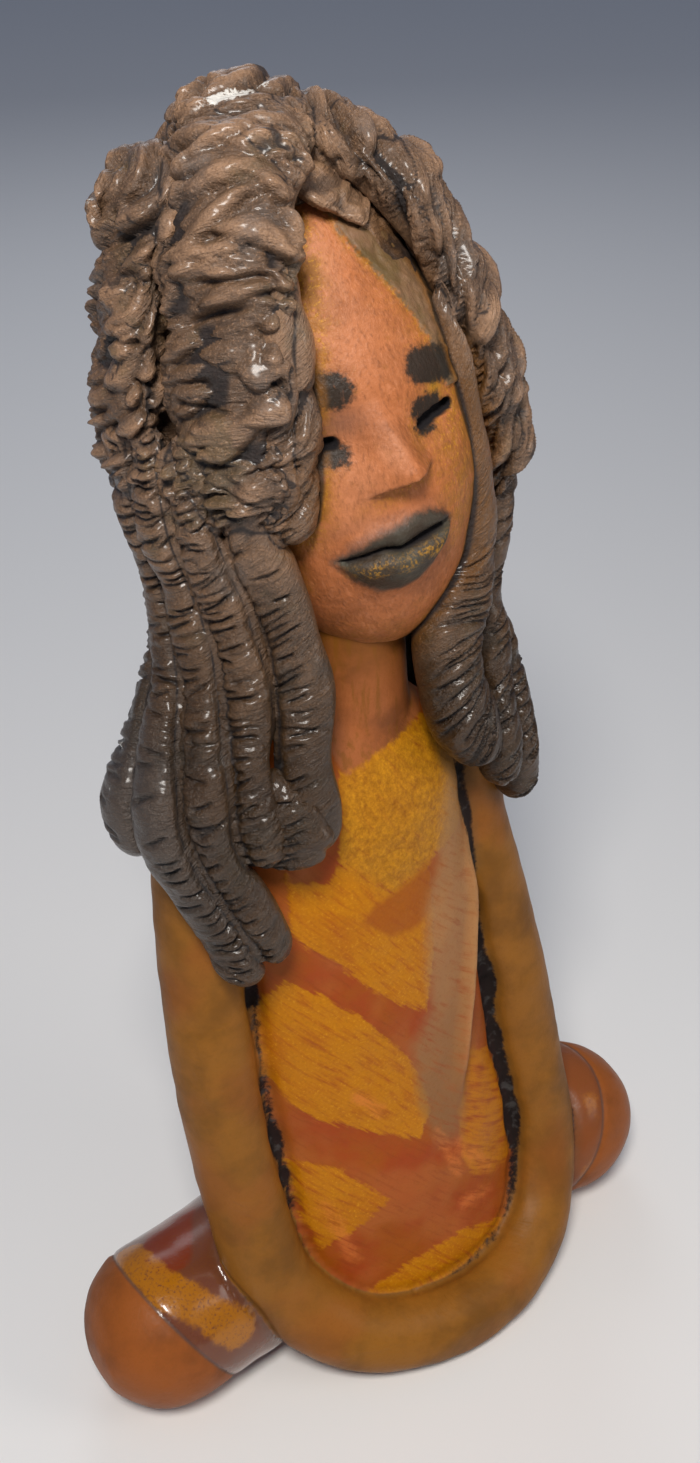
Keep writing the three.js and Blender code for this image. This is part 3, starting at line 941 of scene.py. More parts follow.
# Rough clay from the parting down the left of the forehead: places in the figure's working frame,
# then places (across, up, out) on the face
PARTING = ((-6, 36, 265.5), (-1, 29.5, 262.5), (0.3, 25.2, 258.7), (3.6, 22.6, 254.7), (7.4, 20.6, 250.6))
FOREHEAD_SLIP = ((11.6, 26, -1.3), (13, 17, -1.6))
SLIP_HALF_WIDTHS = (8, 10.5, 10, 8, 5.5, 3.5, 2.5)
SLIP_HALF_DEPTHS = (3, 4, 3.5, 2.2, 1.2, 1.0, 0.9)


def on_face(across, up, out):
    """Place over the oval of the face."""
    wide, deep, high = FACE_HALF_SIZES
    inward = math.sqrt(max(1 - (across / wide) ** 2 - (up / high) ** 2, 0))
    return face_axes() @ (across, -deep * inward - out, up) + FACE_CENTRE


def from_face(centre):
    return (((centre - FACE_CENTRE) @ face_axes()) / np.square(FACE_HALF_SIZES)) @ face_axes().T


def from_head(centre):
    x, y = hair_level(centre[:, 2])[:2]
    lift = CROWN_SLOPE * np.maximum(centre[:, 2] - CROWN_FROM, 0)
    return np.column_stack([centre[:, 0] - x, centre[:, 1] - y, lift])


def even(halves):
    """At least two half widths, for a roll that is the same all along too."""
    return halves if len(halves) > 1 else halves * 2


def pinched(halves, count, pinch):
    """Half widths along a roll that is pinched in and left full by turns."""
    share = np.linspace(0, 1, 2 * count + 1)
    wide = np.interp(share, np.linspace(0, 1, len(halves)), halves)
    return [half * (1 + (pinch if i % 2 else -pinch)) for i, half in enumerate(wide)]


# How wide the creases between soft folds are
FOLD_EDGE = 0.055


def folds(at, around, size, stretch, seed):
    """Soft folds with sharp creases between them: how full each point is, and how near a crease."""
    place = np.column_stack([at / size, around / (size * stretch), np.full(len(at), seed * 0.37)])
    level = np.abs(clay_noise(place, 1, seed) + 0.35 * clay_noise(place, 0.45, seed + 50))
    return np.minimum(2.1 * level, 1) ** 0.7, bell(level, FOLD_EDGE)


# Share of a roll that its pads cover, counting overlaps, and how sharp their edges are
PAD_COVER, PAD_EDGE = 1.9, 0.06


def pads(at, around, long, high, seed):
    """Lens-shaped pads pressed over one another: height from 0 to 1, and how near an edge."""
    rng = np.random.default_rng(seed)
    low, top, reach = at.min(), at.max(), np.abs(around).max()
    count = int(PAD_COVER * (top - low) * 2 * reach / (0.66 * long * high))
    level, under = np.zeros(len(at)), np.zeros(len(at))
    for middle, height, long_share, high_share, lean, bend, lift in rng.uniform(-1, 1, (count, 7)):
        step = around - reach * middle
        fall = at - (low + top) / 2 - (top - low) / 2 * height
        fall = fall - 0.55 * lean * step - 0.03 * bend * step**2
        half_long, half_high = 0.5 * long * (1 + 0.4 * long_share), 0.5 * high * (1 + 0.3 * high_share)
        near = np.flatnonzero((np.abs(step) < half_long) & (np.abs(fall) < half_high))
        end = 1 - (step[near] / half_long) ** 2
        down = fall[near] / (half_high * end)
        round_over = np.sqrt(np.clip(1 - down**2, 0, 1)) * end**0.4
        own = (0.62 + 0.38 * lift) * round_over * (1 + 0.3 * np.clip(down, -1, 1))
        under[near] = np.maximum(under[near], np.minimum(level[near], own))
        level[near] = np.maximum(level[near], own)
    edge = bell(level - under, PAD_EDGE)
    return level, np.maximum(edge, 0.35 * smooth(0.25, 0.05, level))


# Steps from one cut to the next, as shares of their usual distance, and how often each one comes
CUT_STEPS, CUT_ODDS = (0.5, 0.8, 1.1, 2.2), (0.32, 0.3, 0.26, 0.12)


def cuts(at, around, length, cut, spread, seed, sizes, widen=1.0):
    """Cuts pressed across a roll: the height they leave, and how near a cut each point is."""
    rng = np.random.default_rng(seed)
    width = widen * sizes.cut_width / MM
    waver = clay_noise(np.column_stack([around, at * 0.6, np.full(len(at), seed)]), 2.6, seed)
    groove = np.zeros(len(at))
    height = np.zeros(len(at))
    place = cut.start
    while place < length - 1.0:
        middle, half = rng.normal(cut.centre, spread), rng.uniform(*cut.reach)
        tilt = cut.lean + rng.normal(0, 0.12)
        bend = cut.bow + rng.normal(0, 0.012)
        strength = rng.uniform(0.55, 1)
        away = at - place - tilt * around - bend * around**2 + 0.35 * waver
        window = strength * smooth(0, 0.5, 1 - np.abs(around - middle) / half)
        groove = np.maximum(groove, bell(away, width * (0.7 + 0.6 * strength)) * window)
        above = np.exp(np.minimum(away, 0) / 1.1) * (away < 0)
        below = np.exp(-np.maximum(away, 0) / 0.9) * (away >= 0)
        height += window * (0.32 * above + 0.2 * below)
        place += cut.spacing * rng.choice(CUT_STEPS, p=CUT_ODDS)
    deep = cut.depth * sizes.cut_depth / MM
    return deep * (np.minimum(height, 0.55) - 1.25 * groove), groove


# How deep and wide the gaps between rolls are pressed, and how far they are looked for
GAP_DEPTH, GAP_WIDTH, GAP_REACH = 0.9, 1.0, 3.0


@functools.lru_cache
def plain_rolls():
    """Where each roll and lock lies, the vertices and the faces of its form before relief."""
    forms = [(roll, CROWN_HALF_THICKNESS) for roll in CROWN_ROLLS]
    forms += [(lock, lock.thick) for lock in (*LOCKS_RIGHT, *LOCKS_BACK, *LOCKS_LEFT)]
    plain = []
    for roll, thick in forms:
        line = hair_line(roll)
        form = draw_out(clay_ball("form", 20, 48), line, even(roll.halves), even(thick), from_head)[0]
        faces = [tuple(face.vertices) for face in form.data.polygons]
        plain.append((np.array(line), figure_points(form).tolist(), faces))
        bpy.data.objects.remove(form)
    return plain


def gap_to_others(line, points):
    """Distance of each point from the nearest other roll, up to GAP_REACH."""
    places, faces = [], []
    for other, vertices, polygons in plain_rolls():
        if line is None or other.shape != np.shape(line) or not np.allclose(other, line):
            faces += [tuple(i + len(places) for i in face) for face in polygons]
            places += vertices
    tree = BVHTree.FromPolygons(places, faces)
    found = (tree.find_nearest(point, GAP_REACH)[3] for point in points.tolist())
    return np.array([GAP_REACH if distance is None else distance for distance in found])


def hair_roll(name, form, thick, pinches, relief, sizes, coarse=1.0, worked_in=False):
    """Draws out one roll or lock, and presses it in where another lies against it."""
    line = hair_line(form)
    length = smooth_line(line)[1][-1]
    girth = math.pi * (max(form.halves) + max(thick))
    ball = clay_ball(
        name, girth / (coarse * sizes.roll_side / MM), length / (coarse * sizes.roll_step / MM),
    )
    wide, deep = pinched(form.halves, *pinches), pinched(thick, *pinches)
    ball, away = draw_out(ball, line, wide, deep, from_head, relief)
    points = figure_points(ball)
    gap = np.full(len(points), GAP_REACH) if worked_in else gap_to_others(line, points)
    put_vertices(ball, points - away * (GAP_DEPTH * bell(gap, GAP_WIDTH))[:, None])
    store(ball, "gap", gap)
    return ball


# Length and height of the small flakes on the crown and of the lumps on a lock, in millimetres
FLAKE_SIZE, LUMP_SIZE = (4.6, 2.0), (6.5, 4.2)

# How far the middles of the cuts stray round a roll of the crown and round a lock
CROWN_CUT_SPREAD, LOCK_CUT_SPREAD = 6, 1.2


def crown_relief(roll, seed, sizes):
    """Clay folded over itself: broad pads, narrow ones in patches, fine wrinkles and a few cuts."""
    long, high, rise = roll.pad
    cut = Cuts(5.0, roll.lean, roll.bow, 0, (3, 8), 0.7 * rise)

    def relief(at, around, turn, length):
        place = np.column_stack([at, around, at * 0])
        led = at - roll.lean * around - roll.bow * around**2 + 1.2 * clay_noise(place, 8, seed + 5)
        broad, crease = pads(led, around, long, high, seed)
        narrow, pleat = pads(led, around, 0.7 * long, 0.4 * high, seed + 1)
        flakes, flake_edge = pads(led, around, *FLAKE_SIZE, seed + 2)
        pressed, groove = cuts(at, around, length, cut, CROWN_CUT_SPREAD, seed + 3, sizes, rise / 2)
        patch = smooth(0.0, 0.4, clay_noise(place, 8, seed + 7))
        worked = rise * (0.65 + 0.35 * (1 - patch)) * (broad - 0.7)
        worked += 0.4 * rise * (0.15 + 0.85 * patch) * (narrow - 0.65) + 0.5 * (flakes - 0.7) + pressed
        folded = 1.0 if roll.edge is None else smooth(*roll.edge, around)
        deep = 0.35 + 0.65 * smooth(-0.25, 0.3, clay_noise(place, 6, seed + 9))
        # Painted shade: how dark the pad creases, pleats, flake edges and cuts are painted
        dark = np.max([deep * crease, 0.8 * deep * patch * pleat, 0.62 * flake_edge, groove], axis=0)
        return folded * worked + 0.5 * clay_noise(place, 7, seed + 6) - 0.2, folded * dark, led

    return relief


def lock_relief(lock, seed, sizes):
    """Ribs and cuts across the outer side of a roll, lumped where clay was pushed up on it."""
    cut, (rises, risen, falls, fallen) = lock.cuts, lock.lumps

    def relief(at, around, turn, length):
        place = np.column_stack([at, around * 0.6, at * 0])
        led = at - cut.lean * around - cut.bow * around**2 + 0.7 * clay_noise(place, 6, seed + 5)
        rib, crease = folds(led, around, cut.spacing, 3.2, seed + 6)
        fine, pleat = folds(led, around, cut.spacing * 0.42, 4.0, seed + 7)
        pressed, groove = cuts(at, around, length, cut, LOCK_CUT_SPREAD, seed, sizes)
        broad, fold = pads(led, around, *LUMP_SIZE, seed + 3)
        lumped = smooth(rises, risen, at) * smooth(fallen, falls, at)
        side = smooth(WORKED_SIDE + 2, WORKED_SIDE - 2, np.abs(around - cut.centre))
        started = smooth(cut.start - 5, cut.start, at)
        worked = side * started
        ribbed = side * (0.35 + 0.65 * started)
        ribbed *= 0.35 + 0.65 * smooth(-0.35, 0.15, clay_noise(place, 11, seed + 8))
        total = ribbed * (0.6 * (rib - 0.9) + 0.3 * (fine - 1)) + worked * pressed
        total += 0.45 * clay_noise(place, 8, seed + 2) - 0.2 + lumped * 1.9 * (broad - 0.8)
        # Painted shade: how dark the cuts, rib creases, pleats and lump folds are painted
        dark = [worked * groove, 0.45 * ribbed * crease, 0.25 * ribbed * pleat, 0.9 * fold * lumped]
        return total, np.max(dark, axis=0), led

    return relief


# White chips in the hair, the last of them a painted glint, as strokes with a half width, and a smear of skin
# colour beside the cheek, in the imported frame in millimetres
CHIPS_AND_GLINT = (
    ((-15.6, 15.9, 270.4), (-10.6, 14.6, 271.6), 1.1), ((-9.5, 15.0, 271.6), (-8.2, 15.4, 272), 0.9),
    ((-6.5, 15.0, 271.0), (-6.1, 15.0, 270.2), 1.1), ((-34.9, 24, 256.2), (-34.3, 24, 254.6), 0.6),
    ((-17.4, -17.5, 139.2), (-16, -17.5, 138.2), 0.7), ((-19.3, -17.6, 135), (-17.8, -17.6, 135.8), 0.6),
    ((-46.3, 8.0, 161), (-45.3, 8.4, 159.4), 0.6), ((-49.3, 4.4, 154.6), (-49.0, 3.8, 153.2), 0.5),
    # This one is a painted glint on the glaze of the far hair
    ((20.6, -12.5, 229.8), (21.0, -12.3, 228.8), 0.6),
)
CHEEK_SMEAR = ((19.5, -10.5, 212), (20.5, -10, 203), (19.5, -10, 192))
CHEEK_SMEAR_HALF_WIDTH = 3.4


def paint_hair(piece):
    """Marks the white chips and a painted glint, and where ochre and skin colour were rubbed on to the hair.
    """
    points = figure_points(piece)
    place = points - FIGURE_MIDDLE
    store(piece, "chip", strokes_distance(place, CHIPS_AND_GLINT))
    face = (points - np.array(FACE_CENTRE)) @ face_axes()
    away = (np.linalg.norm(face / FACE_HALF_SIZES, axis=1) - 1) * FACE_HALF_SIZES[0]
    front = smooth(2, -8, face[:, 1])
    near_cheek = smooth(14, 4, face[:, 2]) * smooth(-16, -12, face[:, 2]) * smooth(6, -8, face[:, 0])
    far_cheek = smooth(7, 13, face[:, 0]) * smooth(20, 8, face[:, 2]) * smooth(-34, -26, face[:, 2])
    ochre = np.max([
        smooth(3.2, 0.5, away),
        0.75 * near_cheek * smooth(9, 4, away),
        1.7 * far_cheek * smooth(4.8, 2, away),
    ], axis=0)
    store(piece, "ochre", front * ochre)
    store(piece, "face_gap", away)
    store(piece, "smear", path_distance(place, CHEEK_SMEAR) - CHEEK_SMEAR_HALF_WIDTH)


# What the random draws of the crown and of the joined end start from
CROWN_SEED, JOINED_SEED = 100, 390


class DOLL_OT_crown(bpy.types.Operator):
    """Rolls, folds and pinches the hair over the crown"""

    bl_idname = "doll.crown"
    bl_label = "Crown rolls"

    def execute(self, context):
        sizes = context.scene.doll_sizes
        rolls = []
        for i, roll in enumerate(CROWN_ROLLS):
            relief = crown_relief(roll, CROWN_SEED + 10 * i, sizes)
            how = (CROWN_HALF_THICKNESS, CROWN_PINCHES, relief, sizes, CROWN_FINE)
            rolls.append(hair_roll("crown_roll", roll, *how))
        finish_hair((rolls[:3], "crown_right"), (rolls[3:], "crown_left"))
        return {"FINISHED"}


class DOLL_OT_locks(bpy.types.Operator):
    """Rolls the locks and presses the cuts across them"""

    bl_idname = "doll.locks"
    bl_label = "Locks"

    def execute(self, context):
        sizes = context.scene.doll_sizes

        def rolled(lock, seed, **how):
            relief = lock_relief(lock, seed, sizes)
            return hair_roll("lock", lock, lock.thick, LOCK_PINCHES, relief, sizes, **how)

        groups = []
        for name, seed, locks, coarse in (
            ("locks_right", 300, LOCKS_RIGHT, 1.0),
            ("locks_back", 400, LOCKS_BACK, BACK_COARSE),
            ("locks_left", 500, LOCKS_LEFT, 1.0),
        ):
            rolls = [rolled(lock, seed + 10 * i, coarse=coarse) for i, lock in enumerate(locks)]
            groups.append((rolls, name))
        groups[0][0].append(rolled(JOINED_END, JOINED_SEED, worked_in=True))
        finish_hair(*groups)
        return {"FINISHED"}


# Lumps of the rough scalp and crumbs of the slip: their size and height
SCALP_ROUGHNESS = ((4, 0.6), (1.8, 0.5), (0.9, 0.3))
SLIP_CRUMBS = ((3.0, 0.7), (1.4, 0.5), (0.7, 0.25))


class DOLL_OT_scalp(bpy.types.Operator):
    """Lays the rough hair of the parting and the nape, and the slip down the side of the forehead"""

    bl_idname = "doll.scalp"
    bl_label = "Scalp and nape"

    def execute(self, context):
        scalp = clay_ball("scalp", 170, 180)
        unit = vertex_places(scalp)
        points = unit * SCALP_HALF_SIZES + SCALP_CENTRE
        rough = layered(points, SCALP_ROUGHNESS, 20)
        put_vertices(scalp, points + unit * (rough - 0.5)[:, None])
        # Painted shade in the low places of the rough scalp, and its height for painted light on its tops
        store(scalp, "crease", smooth(-0.25, -0.8, rough) * 0.8)
        store(scalp, "crest", rough - 0.3)
        store_vector(scalp, "roll", points * MM)

        def uneven(at, around, turn, length):
            return 0.4 * clay_noise(np.column_stack([at, around, at * 0]), 4, 23) - 0.4, at * 0, at

        def crumbly(at, around, turn, length):
            place = np.column_stack([at, around, at * 0])
            rough = layered(place, SLIP_CRUMBS, 24) * (0.35 + 0.65 * smooth(34, 22, at))
            return rough, 0.7 * smooth(-0.15, -0.5, rough), at

        halves = (NAPE_HALF_WIDTHS, NAPE_HALF_DEPTHS)
        nape = draw_out(clay_ball("nape", 110, 110), NAPE_LINE, *halves, frontward, uneven)[0]
        line = [*PARTING, *(on_face(*place) for place in FOREHEAD_SLIP)]
        halves = (SLIP_HALF_WIDTHS, SLIP_HALF_DEPTHS)
        slip = draw_out(clay_ball("slip", 70, 170), line, *halves, from_face, crumbly)[0]
        for piece in (scalp, nape, slip):
            store(piece, "gap", np.full(len(piece.data.vertices), GAP_REACH))
        finish_hair(([scalp, nape, slip], "scalp"))
        return {"FINISHED"}


def finish_hair(*groups):
    """Joins the rolls of each group in one piece, paints it and finishes it."""
    material = bpy.data.materials.get("hair_clay") or hair_clay(bpy.context.scene.doll_colours)
    for rolls, name in groups:
        piece = joined(rolls, name)
        paint_hair(piece)
        finished(piece, material)


# ---- materials


def fill(tree, socket, value):
    """Links a socket to another one, or gives it a plain value."""
    if isinstance(value, bpy.types.NodeSocket):
        tree.links.new(value, socket)
    else:
        socket.default_value = value


def add(tree, kind, settings=None, **values):
    """Adds a node with its options, and fills its sockets by name, or by number as i0, i1."""
    node = tree.nodes.new("ShaderNode" + kind)
    for key, value in (settings or {}).items():
        setattr(node, key, value)
    for key, value in values.items():
        numbered = key[0] == "i" and key[1:].isdigit()
        fill(tree, node.inputs[int(key[1:]) if numbered else key.replace("_", " ")], value)
    return node


def use(tree, group, **values):
    """Places a node group with its own values."""
    return add(tree, "Group", {"node_tree": group}, **values)


def sums(tree, operation, first, second=0.5, third=0.5, clamp=False):
    settings = {"operation": operation, "use_clamp": clamp}
    return add(tree, "Math", settings, i0=first, i1=second, i2=third).outputs[0]


def times(tree, first, second, clamp=False):
    return sums(tree, "MULTIPLY", first, second, clamp=clamp)


def scaled(tree, value, factor, plus, clamp=False):
    """A value times a factor, with another added."""
    return sums(tree, "MULTIPLY_ADD", value, factor, plus, clamp)


def blend(tree, mask, below, above, kind="MIX"):
    settings = {"data_type": "RGBA", "blend_type": kind}
    return add(tree, "Mix", settings, i0=mask, i6=below, i7=above).outputs[2]


def stored(tree, name, output="Fac"):
    settings = {"attribute_type": "GEOMETRY", "attribute_name": name}
    return add(tree, "Attribute", settings).outputs[output]


def noise(tree, place, scale, detail=4.0, roughness=0.6):
    values = {"Vector": place, "Scale": scale, "Detail": detail, "Roughness": roughness}
    return add(tree, "TexNoise", None, **values).outputs["Fac"]


def steeper(tree, value, low, high):
    """Mask that rises smoothly from 0 to 1 as the value goes from low to high."""
    values = {"Value": value, "From_Min": low, "From_Max": high, "To_Min": 0.0, "To_Max": 1.0}
    return add(tree, "MapRange", {"interpolation_type": "SMOOTHSTEP"}, **values).outputs[0]


def made_group(name, inputs, outputs, build):
    """Node group with inputs of (name, kind, default), built once; build gives its outputs."""
    if name in bpy.data.node_groups:
        return bpy.data.node_groups[name]
    group = bpy.data.node_groups.new(name, "ShaderNodeTree")
    for socket, kind, default in inputs:
        made = group.interface.new_socket(socket, in_out="INPUT", socket_type="NodeSocket" + kind)
        if default is not None:
            made.default_value = default
    for socket in outputs:
        group.interface.new_socket(socket, in_out="OUTPUT", socket_type="NodeSocketFloat")
    given, result = group.nodes.new("NodeGroupInput"), group.nodes.new("NodeGroupOutput")
    for socket, value in zip(outputs, build(group, given.outputs)):
        group.links.new(value, result.inputs[socket])
    return group


def painted_edge():
    """Mask of a painted area from its distance, with a ragged brushed edge."""

    def build(group, given):
        ragged = sums(group, "SUBTRACT", noise(group, given["Place"], given["Scale"], 3.0, 0.65), 0.5)
        reach = times(group, times(group, ragged, given["Raggedness"]), 3.0)
        edge = sums(group, "ADD", given["Distance"], reach)
        softness = given["Softness"]
        return (steeper(group, edge, softness, times(group, softness, -1.0)),)

    inputs = (
        ("Place", "Vector", None), ("Distance", "Float", 0.0), ("Softness", "Float", 0.3),
        ("Raggedness", "Float", 1.0), ("Scale", "Float", 900.0),
    )
    return made_group("painted_edge", inputs, ("Mask",), build)


def clay_grain():
    """Grain of fired clay: a height for the bump, and shades for the colour."""

    def build(group, given):
        fine = noise(group, given["Place"], given["Fine"])
        middle = noise(group, given["Place"], times(group, given["Fine"], 0.3), 3.0, 0.5)
        height = sums(group, "ADD", times(group, fine, 0.4), times(group, middle, 0.6))
        return height, fine, noise(group, given["Place"], given["Broad"])

    inputs = (("Place", "Vector", None), ("Fine", "Float", 1400.0), ("Broad", "Float", 120.0))
    return made_group("clay_grain", inputs, ("Height", "Shade", "Cloud"), build)


def brush_marks():
    """Streaks of a dry brush, drawn out along one direction of the given place."""

    def build(group, given):
        settings = {"rotation_type": "EULER_XYZ"}
        turned = add(group, "VectorRotate", settings, Vector=given["Place"], Rotation=given["Turn"])
        settings = {"operation": "MULTIPLY"}
        drawn = add(group, "VectorMath", settings, i0=turned.outputs[0], i1=given["Stretch"])
        return (noise(group, drawn.outputs[0], given["Scale"]),)

    inputs = (
        ("Place", "Vector", None), ("Turn", "Vector", None), ("Stretch", "Vector", (1.0, 1.0, 0.2)),
        ("Scale", "Float", 700.0),
    )
    return made_group("brush_marks", inputs, ("Streak",), build)


def shade_of(colour, factor):
    return tuple(c * factor for c in colour[:3]) + (1,)


def new_material(name):
    material = bpy.data.materials.new(name)
    material.use_nodes = True
    tree = material.node_tree
    tree.nodes.clear()
    shader, output = add(tree, "BsdfPrincipled"), add(tree, "OutputMaterial")
    tree.links.new(shader.outputs[0], output.inputs[0])
    return material, tree, shader


class Paintwork:
    """A material being painted: the fields that its masks rise from, and the washes laid on it."""

    def __init__(self, name, colours, fine, broad):
        self.material, self.tree, self.shader = new_material(name)
        self.place = add(self.tree, "TexCoord").outputs["Object"]
        self.colours = colours
        grain = use(self.tree, clay_grain(), Place=self.place, Fine=fine, Broad=broad).outputs
        self.fields = {"cloud": grain["Cloud"], "speck": grain["Shade"], "grain": grain["Height"]}

    def field(self, name):
        """A field made before, a coordinate, or what the piece carries under that name."""
        if name not in self.fields:
            if name in "XYZ":
                self.fields[name] = add(self.tree, "SeparateXYZ", None, Vector=self.place).outputs[name]
            else:
                self.fields[name] = stored(self.tree, name)
        return self.fields[name]

    def speckled(self, name, scale, detail=4.0, roughness=0.6):
        self.fields[name] = noise(self.tree, self.place, scale, detail, roughness)

    def brushed(self, name, place, turn, stretch, scale):
        values = {"Place": place, "Turn": turn, "Stretch": stretch, "Scale": scale}
        self.fields[name] = use(self.tree, brush_marks(), **values).outputs[0]

    def edged(self, name, softness, raggedness, scale, distance=None):
        """Makes the mask of a painted area, from the distance that the piece carries or another."""
        distance = stored(self.tree, name) if distance is None else distance
        values = {"Place": self.place, "Distance": distance}
        values.update(Softness=softness, Raggedness=raggedness, Scale=scale)
        self.fields[name] = use(self.tree, painted_edge(), **values).outputs[0]

    def kept(self, *masks, clamp=False):
        """Masks multiplied together; a mask as (field, low, high) rises from low to high."""
        product = None
        for mask in masks:
            if isinstance(mask, str):
                mask = self.field(mask)
            elif isinstance(mask, tuple):
                mask = steeper(self.tree, self.field(mask[0]), *mask[1:])
            product = mask if product is None else times(self.tree, product, mask, clamp)
        return product

    def paint(self, paint, light=1):
        """A paint of the panel by name, mixed lighter or darker, or one that is mixed already."""
        return shade_of(getattr(self.colours, paint), light) if isinstance(paint, str) else paint

    def laid(self, under, *washes):
        """Lays washes over a paint, each as (strength, paint, how light it is mixed, *masks)."""
        colour = self.paint(under)
        for strength, paint, light, *masks in washes:
            colour = blend(self.tree, self.kept(*masks, strength), colour, self.paint(paint, light))
        return colour

    def finish(self, colour, rough, height, strength, distance, **others):
        """Fills the shader's sockets, with the height as a bump."""
        bump = add(self.tree, "Bump", None, Height=height, Strength=strength, Distance=distance)
        others.update(Base_Color=colour, Roughness=rough, Normal=bump.outputs[0])
        for name, value in others.items():
            fill(self.tree, self.shader.inputs[name.replace("_", " ")], value)
        return self.material


def hair_clay(colours):
    """Grey-brown clay, lighter on its crests and darker in its hollows as painted light and shade, with slip,
    rubbed ochre, painted shade in its cuts, gaps and low locks, and chips with a painted glint.
    """
    coat = Paintwork("hair_clay", colours, fine=2200.0, broad=110.0)
    tree, fields = coat.tree, coat.fields
    coat.speckled("tint", 75.0)
    coat.edged("smear", 1.6, 1.4, 400.0)
    coat.edged("chip", 0.2, 1.0, 1300.0)
    coat.brushed("wrinkle", stored(tree, "roll", "Vector"), (0, 0, 0), (1.0, 0.2, 1.0), 1000.0)
    fields["rubbed"] = coat.kept("ochre", ("cloud", 0.2, 0.6), clamp=True)
    # Painted shade in the creases and cuts, between the rolls and where the hair meets the face
    crease_and_gap_shade = coat.kept(("crease", 0.45, 1.0))
    for beside in (("gap", 0.45, 0.05), ("face_gap", 1.0, 0.2)):
        crease_and_gap_shade = sums(tree, "MAXIMUM", crease_and_gap_shade, coat.kept(beside))
    # Painted light and shade: lighter on the crests of the relief, darker in its hollows
    colour = coat.laid(
        shade_of(colours.hair, 0.5),
        (1.0, "hair", 1.42, ("crest", -1.3, 0.9)),
        (0.5, "hair", 0.7, ("cloud", 0.5, 0.3)),
        (0.5, "hair_slip", 1, ("tint", 0.55, 0.72)),
        (0.5, "hair_olive", 1, ("tint", 0.46, 0.32)),
        (0.45, "hair", 1.9, ("speck", 0.52, 0.7)),
        (0.5, "hair", 0.45, ("speck", 0.48, 0.32)),
    )
    # Painted shade: the hair is multiplied darker towards the bottom, where less light falls
    colour = blend(tree, coat.kept(("Z", 0.224, 0.160)), colour, colours.low_hair_shade, "MULTIPLY")
    colour = coat.laid(
        colour,
        (0.35, "hair_slip", 1, ("X", -0.038, -0.050)),
        (0.14, "hair_slip", 1, ("gap", 1.6, 0.5)),
        (0.85, "ochre", 0.4, "rubbed", ("speck", 0.2, 0.6)),
        (0.75, "skin", 0.75, "smear"),
        (0.88, "crease", 1, crease_and_gap_shade),
        (1.0, "chip", 1, "chip"),
    )
    rough = scaled(tree, crease_and_gap_shade, 0.3, scaled(tree, fields["cloud"], 0.4, 0.2), clamp=True)
    pleats = sums(tree, "ABSOLUTE", sums(tree, "SUBTRACT", fields["wrinkle"], 0.5))
    height = scaled(tree, pleats, 1.6, fields["grain"])
    gloss = {"Specular_IOR_Level": 0.42, "Coat_Weight": 0.36, "Coat_Roughness": 0.22}
    return coat.finish(colour, rough, height, 0.9, 0.0008, **gloss)


# Painted areas of the face and of the body: how soft and ragged their edges are, and at what scale
FACE_EDGES = (
    ("slip", 0.6, 1.2, 700.0), ("gold_spot", 1.6, 1.4, 600.0), ("brow", 0.8, 1.1, 1000.0),
    ("eye", 0.8, 1.1, 1000.0), ("lip_rim", 0.7, 0.4, 900.0), ("lips", 0.9, 0.5, 900.0),
)
BODY_EDGES = (
    ("side_patch", 1.2, 1.0, 500.0), ("chest", 3.5, 0.8, 200.0), ("leaf", 1.2, 0.8, 500.0),
    ("band", 4.0, 1.4, 350.0), ("pale_smear", 1.8, 2.0, 350.0), ("neckline", 0.7, 1.0, 600.0),
    ("leg_red", 0.8, 0.6, 400.0), ("leg_gold", 0.8, 1.0, 500.0), ("leg", 0.25, 0.0, 900.0),
    ("arm", 0.25, 0.0, 900.0),
)


